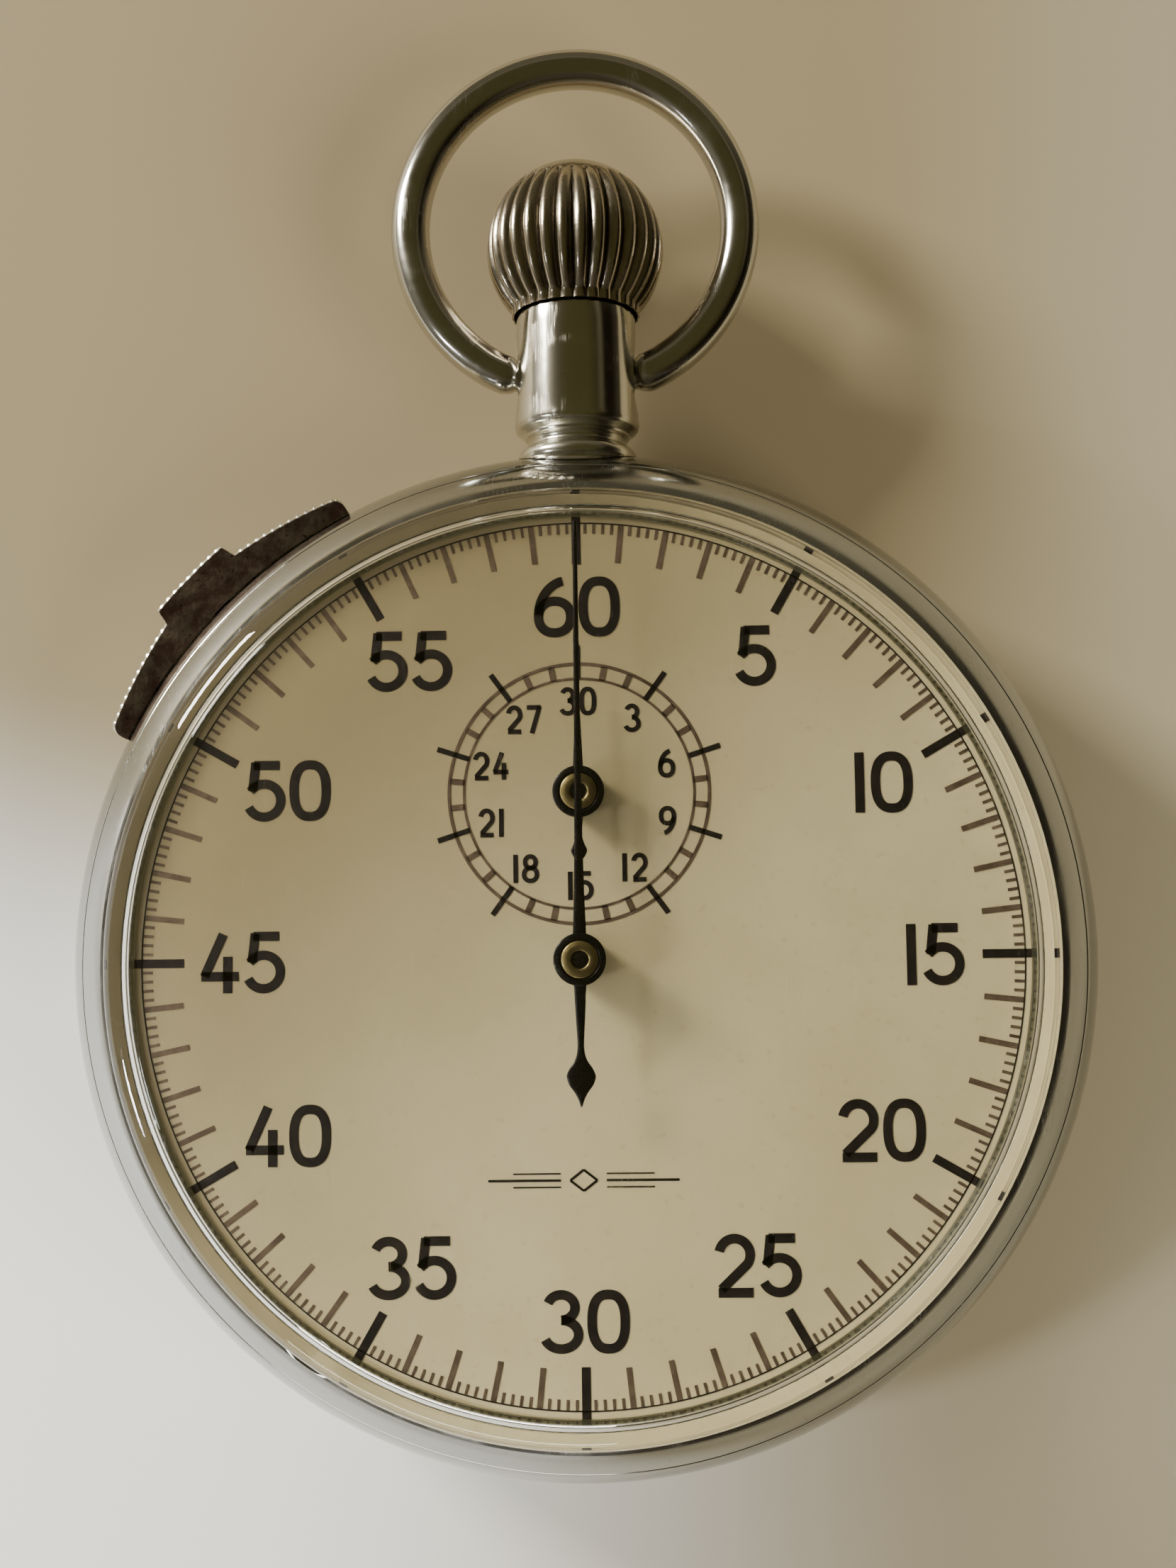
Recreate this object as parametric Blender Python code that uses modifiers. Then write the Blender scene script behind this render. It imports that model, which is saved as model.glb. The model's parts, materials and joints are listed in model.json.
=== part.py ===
"""A mechanical pocket stopwatch with a 60-second dial and a 30-minute subdial.

It lies on its back: +Z is the dial's normal, +Y points to the crown at 12 o'clock, +X to 3 o'clock.
The origin is the centre of the back cover's flat resting face. All sizes below are in millimetres,
and MM turns them into metres.
"""

import math

import bpy
import bmesh
from mathutils import Vector

MM = 0.001

# Case: its flank is an arc in section, shared by back cover, band and bezel
CASE_R = 25.9
FLANK_ARC_R = 6.4
FLANK_CENTRE_R = CASE_R - FLANK_ARC_R
MID_Z = 5.6
BACK_TOP_Z = 1.6
BAND_TOP_Z = 9.4
BEZEL_TOP_Z = 11.0
BORE_R = 22.6
BACK_FLAT_R = 20.5
SPLIT = 0.05  # gap left where two shells meet
CASE_SIDES = 44

# Crystal and dial
CRYSTAL_R = 22.75
CRYSTAL_WALL = 0.9
CRYSTAL_SEAT_Z = 10.25
CRYSTAL_TOP_Z = 14.2
DIAL_R = 22.5
DIAL_Z = 9.9
DIAL_THICK = 0.4

# Arbors, as seen from the dial
MINUTE_Y = 8.05
THIRD = (4.90, -3.03)
CENTRE = (9.60, 0.90)
BARREL = (8.90, 8.57)
ESCAPE = (-1.98, -3.43)
PALLET = (-4.42, -6.51)
BALANCE = (-7.27, -10.12)
CROWN_WHEEL = (0.0, 12.55)
MINUTE_DRIVE = (-2.379, 3.606)
HAMMER = (7.5, -6.0)
STOP_LEVER = (-8.57, 8.40)
HAMMER_SPRING = (14.4, -4.6)
STOP_SPRING = (-17.2, 5.4)
CLICK = (15.74, 4.62)

# Going train: a wheel's module is also that of the pinion it drives
BARREL_TEETH, BARREL_MODULE = 48, 0.275
CENTRE_LEAVES, CENTRE_TEETH, CENTRE_MODULE = 8, 45, 0.24
THIRD_LEAVES, THIRD_TEETH, THIRD_MODULE = 6, 48, 0.21333
FOURTH_LEAVES, FOURTH_TEETH, FOURTH_MODULE = 6, 60, 0.12
ESCAPE_LEAVES = 6

# Levels of the movement, from the back to the dial
RATCHET_Z = (2.0, 2.6)
BRIDGE_Z = (2.8, 3.8)
COCK_Z = (2.2, 3.1)
PALLET_BRIDGE_Z = (5.3, 5.55)
PLATE_Z = (6.9, 8.1)
PLATE_R = 20.5
PIVOT_R = 0.30
PIVOT_GAP = 0.06

# Pendant, bow and crown, on the stem's axis
STEM_R = 0.9
NECK_R = 3.15
NECK_TOP_Y = 33.65
NECK_BORE_R = 2.2
BOW_PIVOT_Y = 30.2
BOW_CENTRE_Y = 38.29
BOW_R = 8.72
BOW_WIRE_R = 1.02
CROWN_CENTRE_Y = 37.04
CROWN_R = 4.65
CROWN_RIM_Y = 33.75
CROWN_BORE_R = 3.24
CROWN_FLUTES = 30
PRESS_TRAVEL = 0.8

# Slide on the flank, as an angle measured from +X towards +Y
SLIDE_ANGLE = 135.5
SLIDE_HALF_SPAN = 18.3
SLIDE_END_R = 26.4
SLIDE_MID_R = 27.15
SLIDE_RIDGE_R = 28.05
SLIDE_RIDGE_HALF = 4.6
SLIDE_Z = (3.4, 7.8)
SLIDE_PIN_R = 0.6
SLIDE_PIN_Z = 4.9
SLIDE_TRAVEL = 5.0

STEEL = ((0.50, 0.50, 0.52), 0.32, 1.0)
BLUED = ((0.02, 0.022, 0.03), 0.35, 1.0)
BRASS = ((0.72, 0.52, 0.24), 0.30, 1.0)
NICKEL = ((0.66, 0.63, 0.58), 0.30, 1.0)
CHROME = ((0.78, 0.78, 0.78), 0.12, 1.0)
WORN_CHROME = ((0.50, 0.46, 0.40), 0.30, 1.0)
CREAM = ((0.80, 0.72, 0.58), 0.50, 0.0)
CLEAR = ((0.95, 0.95, 0.92), 0.05, 0.0)


# ---------------------------------------------------------------- scene and collections

for old in list(bpy.data.objects):
    bpy.data.objects.remove(old, do_unlink=True)

PARTS = bpy.data.collections.new("mechanical_stopwatch")
CUTTERS = bpy.data.collections.new("cutters")
for collection in (PARTS, CUTTERS):
    bpy.context.scene.collection.children.link(collection)


def painted(obj, finish):
    """Gives the object a material of its own with the finish's colour, roughness and metallic."""
    colour, rough, metallic = finish
    made = bpy.data.materials.new(obj.name)
    made.use_nodes = True
    shader = made.node_tree.nodes["Principled BSDF"]
    shader.inputs["Base Color"].default_value = (*colour, 1.0)
    shader.inputs["Roughness"].default_value = rough
    shader.inputs["Metallic"].default_value = metallic
    obj.data.materials.clear()
    obj.data.materials.append(made)
    return obj


def placed(obj, finish=None):
    """Puts the object in the parts collection with its finish, or among the cutters without one."""
    (PARTS if finish else CUTTERS).objects.link(obj)
    if finish:
        painted(obj, finish)
    else:
        obj.hide_render = True
        obj.display_type = "WIRE"
    return obj


# ---------------------------------------------------------------- shapes

def turned(name, profile, finish=None, at=(0, 0, 0), axis="Z", steps=32, ring=False):
    """A turned solid from (radius, height) points that run down its outer side, top to bottom.

    A ring's profile is a closed loop that goes on up its bore."""
    mesh = bpy.data.meshes.new(name)
    count = len(profile)
    edges = [(i, i + 1) for i in range(count - 1)] + ([(count - 1, 0)] if ring else [])
    mesh.from_pydata([(r * MM, 0, h * MM) for r, h in profile], edges, [])
    obj = bpy.data.objects.new(name, mesh)
    obj.location = Vector(at) * MM
    if axis == "Y":
        obj.rotation_euler = (-math.pi / 2, 0, 0)
    turn = obj.modifiers.new("Turn", "SCREW")
    turn.steps = turn.render_steps = steps
    turn.use_merge_vertices = True
    turn.merge_threshold = 1e-6
    turn.use_smooth_shade = False
    return placed(obj, finish)


def plate(name, loops, level, finish=None, at=(0, 0)):
    """A flat piece: closed outlines in mm about `at`, holes included, between two heights."""
    curve = bpy.data.curves.new(name, "CURVE")
    curve.dimensions = "2D"
    curve.fill_mode = "BOTH"
    curve.extrude = (level[1] - level[0]) / 2 * MM
    for loop in loops:
        spline = curve.splines.new("POLY")
        spline.points.add(len(loop) - 1)
        for point, (x, y) in zip(spline.points, loop):
            point.co = (x * MM, y * MM, 0, 1)
        spline.use_cyclic_u = True
    drawn = bpy.data.objects.new(name, curve)
    bpy.context.scene.collection.objects.link(drawn)
    bpy.context.view_layer.update()
    graph = bpy.context.evaluated_depsgraph_get()
    mesh = bpy.data.meshes.new_from_object(drawn.evaluated_get(graph))
    bpy.data.objects.remove(drawn, do_unlink=True)
    weld(mesh)
    obj = bpy.data.objects.new(name, mesh)
    obj.location = Vector((at[0], at[1], (level[0] + level[1]) / 2)) * MM
    return placed(obj, finish)


def weld(mesh):
    """Merges the caps of a filled curve with its sides."""
    work = bmesh.new()
    work.from_mesh(mesh)
    bmesh.ops.remove_doubles(work, verts=work.verts, dist=1e-6)
    bmesh.ops.recalc_face_normals(work, faces=work.faces)
    work.to_mesh(mesh)
    work.free()


def rod(name, radius, start, end, finish=None, sides=12, end_radius=None):
    """A round rod or a cone between two points."""
    start, end = Vector(start) * MM, Vector(end) * MM
    run = end - start
    work = bmesh.new()
    bmesh.ops.create_cone(
        work, cap_ends=True, segments=sides, radius1=radius * MM,
        radius2=(radius if end_radius is None else end_radius) * MM, depth=run.length)
    mesh = bpy.data.meshes.new(name)
    work.to_mesh(mesh)
    work.free()
    obj = bpy.data.objects.new(name, mesh)
    obj.rotation_mode = "QUATERNION"
    obj.rotation_quaternion = run.to_track_quat("Z", "Y")
    obj.location = (start + end) / 2
    return placed(obj, finish)


def box(name, low, high, finish=None, turn=0.0):
    """A block between two corners; `turn` turns it in degrees about the case's Z axis."""
    low, high = Vector(low) * MM, Vector(high) * MM
    work = bmesh.new()
    bmesh.ops.create_cube(work, size=1.0)
    bmesh.ops.scale(work, vec=high - low, verts=work.verts)
    bmesh.ops.translate(work, vec=(low + high) / 2, verts=work.verts)
    mesh = bpy.data.meshes.new(name)
    work.to_mesh(mesh)
    work.free()
    obj = bpy.data.objects.new(name, mesh)
    obj.rotation_euler = (0, 0, math.radians(turn))
    return placed(obj, finish)


def boolean(obj, operation, *others):
    """Joins the others to the object, or cuts them out of it."""
    for other in others:
        step = obj.modifiers.new(other.name, "BOOLEAN")
        step.operation = operation
        step.solver = "EXACT"
        step.object = other
    return obj


def join(obj, *others):
    return boolean(obj, "UNION", *others)


def cut(obj, *others):
    return boolean(obj, "DIFFERENCE", *others)


# ---------------------------------------------------------------- outlines

def circle(radius, sides=16, centre=(0, 0)):
    return [
        (centre[0] + radius * math.cos(2 * math.pi * i / sides),
         centre[1] + radius * math.sin(2 * math.pi * i / sides))
        for i in range(sides)
    ]


def arc(radius, start, end, count, centre=(0, 0)):
    """Points on an arc between two angles in degrees, both ends included."""
    return [
        (centre[0] + radius * math.cos(math.radians(start + (end - start) * i / (count - 1))),
         centre[1] + radius * math.sin(math.radians(start + (end - start) * i / (count - 1))))
        for i in range(count)
    ]


def wheel_teeth(teeth, module, turn=0.0):
    """Pointed wheel teeth with a narrow flat tip and a V-shaped root."""
    pitch, radius = 2 * math.pi / teeth, teeth * module / 2
    points = []
    for i in range(teeth):
        middle = math.radians(turn) + i * pitch
        for r, angle in ((radius + 0.8 * module, middle - 0.08 * pitch),
                         (radius + 0.8 * module, middle + 0.08 * pitch),
                         (radius - 1.1 * module, middle + 0.5 * pitch)):
            points.append((r * math.cos(angle), r * math.sin(angle)))
    return points


def pinion_leaves(leaves, module, turn=0.0):
    """Pinion leaves with straight flanks and a flat root."""
    pitch, radius = 2 * math.pi / leaves, leaves * module / 2
    points = []
    for i in range(leaves):
        middle = math.radians(turn) + i * pitch
        for r, angle in ((radius - 1.15 * module, middle - 0.26 * pitch),
                         (radius + 0.7 * module, middle - 0.10 * pitch),
                         (radius + 0.7 * module, middle + 0.10 * pitch),
                         (radius - 1.15 * module, middle + 0.26 * pitch)):
            points.append((r * math.cos(angle), r * math.sin(angle)))
    return points


def crossings(inner, outer, arms, arm_width):
    """The windows between a wheel's arms."""
    windows = []
    for i in range(arms):
        start, end = 360 / arms * i, 360 / arms * (i + 1)
        half_in = math.degrees(arm_width / 2 / inner)
        half_out = math.degrees(arm_width / 2 / outer)
        windows.append(
            arc(outer, start + half_out, end - half_out, 5)
            + arc(inner, end - half_in, start + half_in, 3))
    return windows


def bearing(start, end):
    """The direction from one arbor to another, in degrees."""
    return math.degrees(math.atan2(end[1] - start[1], end[0] - start[0]))


def meshing_turn(driver, driver_teeth, driver_turn, driven, driven_teeth):
    """The turn that puts a gap of the driven wheel over the driver's tooth on the line of centres."""
    line = bearing(driver, driven)
    lead = ((line - driver_turn) / 360 * driver_teeth) % 1.0
    return line + 180 + (0.5 + lead) * 360 / driven_teeth


def about(pivot, points):
    """World points moved to a piece whose origin is its pivot."""
    return [(x - pivot[0], y - pivot[1]) for x, y in points]


def thick_line(points, widths):
    """A closed outline that follows a line of points with a width at each."""
    left, right = [], []
    for i, (x, y) in enumerate(points):
        before, after = points[max(i - 1, 0)], points[min(i + 1, len(points) - 1)]
        dx, dy = after[0] - before[0], after[1] - before[1]
        size = math.hypot(dx, dy)
        nx, ny = -dy / size * widths[i] / 2, dx / size * widths[i] / 2
        left.append((x + nx, y + ny))
        right.append((x - nx, y - ny))
    return left + right[::-1]


def flank_r(z, extra=0.0):
    """The case's radius at a height: an arc in section."""
    return FLANK_CENTRE_R + math.sqrt((FLANK_ARC_R + extra) ** 2 - (z - MID_Z) ** 2)


def flank(top, bottom, count, extra=0.0):
    return [
        (flank_r(top + (bottom - top) * i / (count - 1), extra), top + (bottom - top) * i / (count - 1))
        for i in range(count)
    ]


# ---------------------------------------------------------------- case

def case_envelope(name, extra):
    """The whole case's outer form, grown by `extra`, to cut pieces that sit on it."""
    profile = [(0, 10.6)] + flank(10.6, 0.6, 9, extra) + [(0, 0.6)]
    return turned(name, profile, steps=CASE_SIDES)


def make_case():
    back = turned(
        "back_cover",
        [(0, 0.9), (21.6, 0.9), (21.6, BACK_TOP_Z + 1.2), (22.3, BACK_TOP_Z + 1.2), (22.3, BACK_TOP_Z)]
        + flank(BACK_TOP_Z, 0.5, 3) + [(22.2, 0.12), (BACK_FLAT_R, 0), (0, 0)],
        CHROME, steps=CASE_SIDES)
    profile = (
        [(24.2, BAND_TOP_Z)] + flank(BAND_TOP_Z, BACK_TOP_Z + SPLIT, 7)
        + [(BORE_R, BACK_TOP_Z + SPLIT), (BORE_R, BAND_TOP_Z + 0.35), (23.3, BAND_TOP_Z + 0.35),
           (23.3, BAND_TOP_Z)])
    band = turned("case_band", profile, CHROME, steps=CASE_SIDES, ring=True)
    stem_hole = rod("stem_hole", 2.75, (0, 20, MID_Z), (0, 28, MID_Z), sides=20)
    slot_half = SLIDE_PIN_R + 0.25
    slot_run = CASE_R * math.radians(SLIDE_TRAVEL)
    slide_slot = box(
        "slide_slot", (21, -slot_half - slot_run, SLIDE_PIN_Z - 0.75), (28, slot_half, SLIDE_PIN_Z + 0.75),
        turn=SLIDE_ANGLE)
    cut(band, stem_hole, slide_slot)
    base = BAND_TOP_Z + SPLIT
    lip = BAND_TOP_Z + 0.35 + SPLIT
    bezel = turned(
        "bezel",
        [(22.85, BEZEL_TOP_Z)] + flank(BEZEL_TOP_Z, base, 4)
        + [(23.38, base), (23.38, lip), (22.55, lip), (22.55, DIAL_Z + 0.07), (22.25, DIAL_Z + 0.07),
           (22.25, CRYSTAL_SEAT_Z - 0.05), (22.85, CRYSTAL_SEAT_Z - 0.05)],
        CHROME, steps=CASE_SIDES, ring=True)
    return back, band, bezel


def make_crystal():
    """A domed acrylic crystal: an upright wall, a rounded shoulder and a shallow dome."""
    def dome(radius, shoulder, top, rise):
        reach = radius - shoulder
        corner = [(reach + shoulder * math.cos(math.radians(a)),
                   top - rise - shoulder + shoulder * math.sin(math.radians(a)))
                  for a in (75, 40, 0)]
        crown = [(reach * f, top - rise * f * f) for f in (0.4, 0.75)]
        return crown + corner
    outer = dome(CRYSTAL_R, 1.3, CRYSTAL_TOP_Z, 0.75)
    inner = dome(CRYSTAL_R - CRYSTAL_WALL, 0.9, CRYSTAL_TOP_Z - CRYSTAL_WALL, 0.7)
    profile = (
        [(0, CRYSTAL_TOP_Z)] + outer
        + [(CRYSTAL_R, CRYSTAL_SEAT_Z), (CRYSTAL_R - CRYSTAL_WALL, CRYSTAL_SEAT_Z)]
        + inner[::-1] + [(0, CRYSTAL_TOP_Z - CRYSTAL_WALL)])
    return turned("crystal", profile, CLEAR, steps=CASE_SIDES)


def make_dial():
    dial = plate(
        "dial",
        [circle(DIAL_R, CASE_SIDES), circle(0.95, 16), circle(0.95, 16, (0, MINUTE_Y))],
        (DIAL_Z - DIAL_THICK, DIAL_Z), CREAM)
    feet = [rod(f"dial_foot_{i}", 0.45, (x, y, 7.2), (x, y, DIAL_Z - 0.1), sides=8)
            for i, (x, y) in enumerate(DIAL_FEET)]
    return join(dial, *feet)


def make_movement_ring():
    """The ring that centres the movement in the case and carries the dial's edge."""
    ring = turned(
        "movement_ring",
        [(22.45, 9.4), (22.45, 6.9), (20.65, 6.9), (20.65, 8.2), (21.4, 8.2), (21.4, 9.4)],
        BRASS, steps=40, ring=True)
    return cut(ring, box("ring_notch", (-1.9, 18, 6), (1.9, 24, 10)))


# ---------------------------------------------------------------- pendant, bow, crown

def make_pendant():
    neck = turned(
        "pendant_tube",
        [(0, NECK_TOP_Y), (2.95, NECK_TOP_Y), (3.05, NECK_TOP_Y - 0.12), (3.05, 32.8), (NECK_R, 32.6),
         (NECK_R, 28.4), (2.6, 28.1), (2.45, 27.75), (3.0, 27.2), (3.12, 26.8), (2.7, 26.2), (3.1, 25.6),
         (3.3, 24.4), (0, 24.4)],
        CHROME, at=(0, 0, MID_Z), axis="Y", steps=20)
    cut(neck, case_envelope("neck_seat", SPLIT))
    tenon = rod("neck_tenon", 2.68, (0, 23.0, MID_Z), (0, 26.3, MID_Z), sides=20)
    bore = rod("neck_bore", NECK_BORE_R, (0, 22, MID_Z), (0, 35, MID_Z), sides=20)
    pivots = rod("bow_holes", 0.82, (-5, BOW_PIVOT_Y, MID_Z), (5, BOW_PIVOT_Y, MID_Z), sides=12)
    join(neck, tenon)
    return cut(neck, bore, pivots)


def make_bow():
    """A round wire ring, open at the neck, whose thinner ends are its two pivots."""
    start = math.degrees(math.asin((BOW_PIVOT_Y - BOW_CENTRE_Y + 0.75) / BOW_R))
    path = arc(BOW_R, start, 180 - start, 25, (0, BOW_CENTRE_Y))
    ends = [(NECK_R + 0.62, BOW_PIVOT_Y + 0.06), (NECK_R + 0.12, BOW_PIVOT_Y)]
    path = ends[::-1] + path + [(-x, y) for x, y in ends]
    curve = bpy.data.curves.new("bow", "CURVE")
    curve.dimensions = "3D"
    curve.bevel_depth = BOW_WIRE_R * MM
    curve.bevel_resolution = 2
    curve.use_fill_caps = True
    spline = curve.splines.new("POLY")
    spline.points.add(len(path) - 1)
    for i, (point, (x, y)) in enumerate(zip(spline.points, path)):
        point.co = (x * MM, (y - BOW_PIVOT_Y) * MM, 0, 1)
        if i in (0, len(path) - 1):
            point.radius = 0.80
    drawn = bpy.data.objects.new("bow", curve)
    drawn.location = Vector((0, BOW_PIVOT_Y, MID_Z)) * MM
    bpy.context.scene.collection.objects.link(drawn)
    bpy.context.view_layer.update()
    graph = bpy.context.evaluated_depsgraph_get()
    mesh = bpy.data.meshes.new_from_object(drawn.evaluated_get(graph))
    bow = bpy.data.objects.new("bow_ring", mesh)
    bow.matrix_world = drawn.matrix_world
    bpy.data.objects.remove(drawn, do_unlink=True)
    weld(mesh)
    placed(bow, CHROME)
    pins = [rod(f"bow_pin_{side}", 0.7, (side * 2.35, BOW_PIVOT_Y, MID_Z),
                (side * (NECK_R + 0.5), BOW_PIVOT_Y, MID_Z), sides=12) for side in (-1, 1)]
    return join(bow, *pins)


def make_crown():
    """A ball with upright flutes, hollow beneath so that it can sink over the neck when pressed."""
    low = CROWN_RIM_Y - CROWN_CENTRE_Y
    start = math.degrees(math.asin(low / CROWN_R))
    ball = arc(CROWN_R, 90, start, 7)
    crown = turned("crown", [(0, CROWN_R)] + ball[1:] + [(0, low)], WORN_CHROME,
                   at=(0, CROWN_CENTRE_Y, MID_Z), axis="Y", steps=60)
    groove_at = CROWN_R + 0.22
    for i in range(CROWN_FLUTES):
        turn = 2 * math.pi * i / CROWN_FLUTES
        x, z = groove_at * math.sin(turn), groove_at * math.cos(turn)
        groove = rod(f"crown_flute_{i}", 0.36, (x, CROWN_CENTRE_Y - 5, MID_Z + z),
                     (x, CROWN_CENTRE_Y + 5, MID_Z + z), sides=5)
        cut(crown, groove)
    hollow = turned(
        "crown_hollow",
        [(0, PRESS_TRAVEL + 0.65), (CROWN_BORE_R, PRESS_TRAVEL + 0.65), (CROWN_BORE_R, -1.5), (0, -1.5)],
        at=(0, CROWN_RIM_Y, MID_Z), axis="Y", steps=20)
    socket = rod("crown_socket", STEM_R + 0.02, (0, CROWN_RIM_Y - 1, MID_Z),
                 (0, CROWN_RIM_Y + 3.6, MID_Z), sides=16)
    return cut(crown, hollow, socket)


def make_stem_parts():
    stem = rod("winding_stem", STEM_R, (0, 14.7, MID_Z), (0, CROWN_RIM_Y + 3.5, MID_Z), STEEL, sides=16)
    collar = turned(
        "press_collar",
        [(STEM_R + 0.1, CROWN_RIM_Y + 1.35), (2.0, CROWN_RIM_Y + 1.35), (2.0, 20.3), (STEM_R + 0.1, 20.3)],
        STEEL, at=(0, 0, MID_Z), axis="Y", steps=20, ring=True)
    finger = box("press_finger", (-1.1, 19.95, MID_Z + 1.05), (1.1, 20.6, 9.35))
    join(collar, finger)
    pinion = plate("winding_pinion", [pinion_leaves(24, 0.25), circle(STEM_R + 0.05, 16)],
                   (-0.45, 0.45), STEEL)
    pinion.rotation_euler = (-math.pi / 2, 0, 0)
    pinion.location = Vector((0, 16.55, MID_Z)) * MM
    return stem, collar, pinion


# ---------------------------------------------------------------- slide

def make_slide():
    """A curved thumb slide that rides on the flank, with a ridge, and a pin through the band."""
    outer = []
    first, last = SLIDE_ANGLE - SLIDE_HALF_SPAN, SLIDE_ANGLE + SLIDE_HALF_SPAN
    ridge_first, ridge_last = SLIDE_ANGLE - SLIDE_RIDGE_HALF, SLIDE_ANGLE + SLIDE_RIDGE_HALF

    def sweep(radius_from, radius_to, start, end, count):
        for i in range(count):
            share = i / (count - 1)
            radius = radius_from + (radius_to - radius_from) * share
            angle = math.radians(start + (end - start) * share)
            outer.append((radius * math.cos(angle), radius * math.sin(angle)))

    sweep(SLIDE_END_R - 0.35, SLIDE_END_R, first, first + 0.8, 2)
    sweep(SLIDE_END_R, SLIDE_MID_R, first + 1.4, ridge_first - 0.4, 7)
    sweep(SLIDE_RIDGE_R - 0.2, SLIDE_RIDGE_R, ridge_first + 0.2, ridge_first + 0.9, 2)
    sweep(SLIDE_RIDGE_R, SLIDE_RIDGE_R, SLIDE_ANGLE - 2, SLIDE_ANGLE + 2, 3)
    sweep(SLIDE_RIDGE_R, SLIDE_RIDGE_R - 0.2, ridge_last - 0.9, ridge_last - 0.2, 2)
    sweep(SLIDE_MID_R, SLIDE_END_R, ridge_last + 0.4, last - 1.4, 7)
    sweep(SLIDE_END_R, SLIDE_END_R - 0.35, last - 0.8, last, 2)
    inner = arc(24.6, last, first, 14)
    slide = plate("slide_button", [outer + inner], SLIDE_Z, WORN_CHROME)
    cut(slide, case_envelope("slide_seat", 0.08))
    angle = math.radians(SLIDE_ANGLE)
    x, y = math.cos(angle), math.sin(angle)
    pin = rod("slide_pin", SLIDE_PIN_R, (20.1 * x, 20.1 * y, SLIDE_PIN_Z),
              (26.3 * x, 26.3 * y, SLIDE_PIN_Z), sides=12)
    return join(slide, pin)


# ---------------------------------------------------------------- plates and bridges

DIAL_FEET = [(17.6, -7.6), (-17.6, 7.9)]
PILLARS = {
    "barrel_bridge": [(16.95, 10.4), (-6.2, 17.6)],
    "train_bridge": [(13.6, -8.2), (1.6, -10.4)],
    "balance_cock": [(-15.2, -12.4)],
    "pallet_bridge": [(-6.6, -1.2)],
}
BRIDGE_SCREW_R = 0.55
POST_R = 0.5
NOTCH_HALF = 1.75
NOTCH_Y = 18.9


def pivot_hole(centre, radius=PIVOT_R, origin=(0, 0), sides=8):
    return circle(radius + PIVOT_GAP, sides, (centre[0] - origin[0], centre[1] - origin[1]))


def make_main_plate():
    rim = [p for p in circle(PLATE_R, 60) if not (abs(p[0]) < NOTCH_HALF + 0.2 and p[1] > 0)]
    turn = next(i for i, p in enumerate(rim) if p[0] < 0 < p[1])
    edge_y = math.sqrt(PLATE_R ** 2 - NOTCH_HALF ** 2)
    notch = [(NOTCH_HALF, edge_y), (NOTCH_HALF, NOTCH_Y), (-NOTCH_HALF, NOTCH_Y), (-NOTCH_HALF, edge_y)]
    outline = rim[:turn] + notch + rim[turn:]
    holes = [pivot_hole(p) for p in (THIRD, CENTRE, ESCAPE, PALLET, BALANCE)]
    holes += [pivot_hole((0, 0), 0.42, sides=12), pivot_hole(BARREL, 0.8, sides=14)]
    holes += [pivot_hole(MINUTE_DRIVE, 0.35), pivot_hole((0, MINUTE_Y), 0.42)]
    holes += [pivot_hole(post, POST_R) for post in (HAMMER, STOP_LEVER, HAMMER_SPRING, STOP_SPRING)]
    holes += [circle(0.5, 10, foot) for foot in DIAL_FEET]
    holes += [circle(BRIDGE_SCREW_R + PIVOT_GAP, 10, p) for group in PILLARS.values() for p in group]
    holes.append([(3.4, 15.8), (3.4, 17.3), (-3.4, 17.3), (-3.4, 15.8)])  # the winding pinion turns in it
    return plate("main_plate", [outline] + holes, PLATE_Z, BRASS)


def make_bridge(name, outline, holes, level, foot_r=1.3):
    """A bridge plate on its feet, with a hole through each foot for its screw."""
    bridge = plate(name, [outline] + holes, level, NICKEL)
    places = list(enumerate(PILLARS[name]))
    feet = [
        rod(f"{name}_foot_{i}", foot_r, (x, y, level[0] + 0.2), (x, y, PLATE_Z[0] - SPLIT), sides=14)
        for i, (x, y) in places]
    screw_holes = [
        rod(f"{name}_screw_hole_{i}", BRIDGE_SCREW_R + PIVOT_GAP, (x, y, level[0] - 1), (x, y, 7.5), sides=10)
        for i, (x, y) in places]
    join(bridge, *feet)
    return cut(bridge, *screw_holes)


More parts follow.
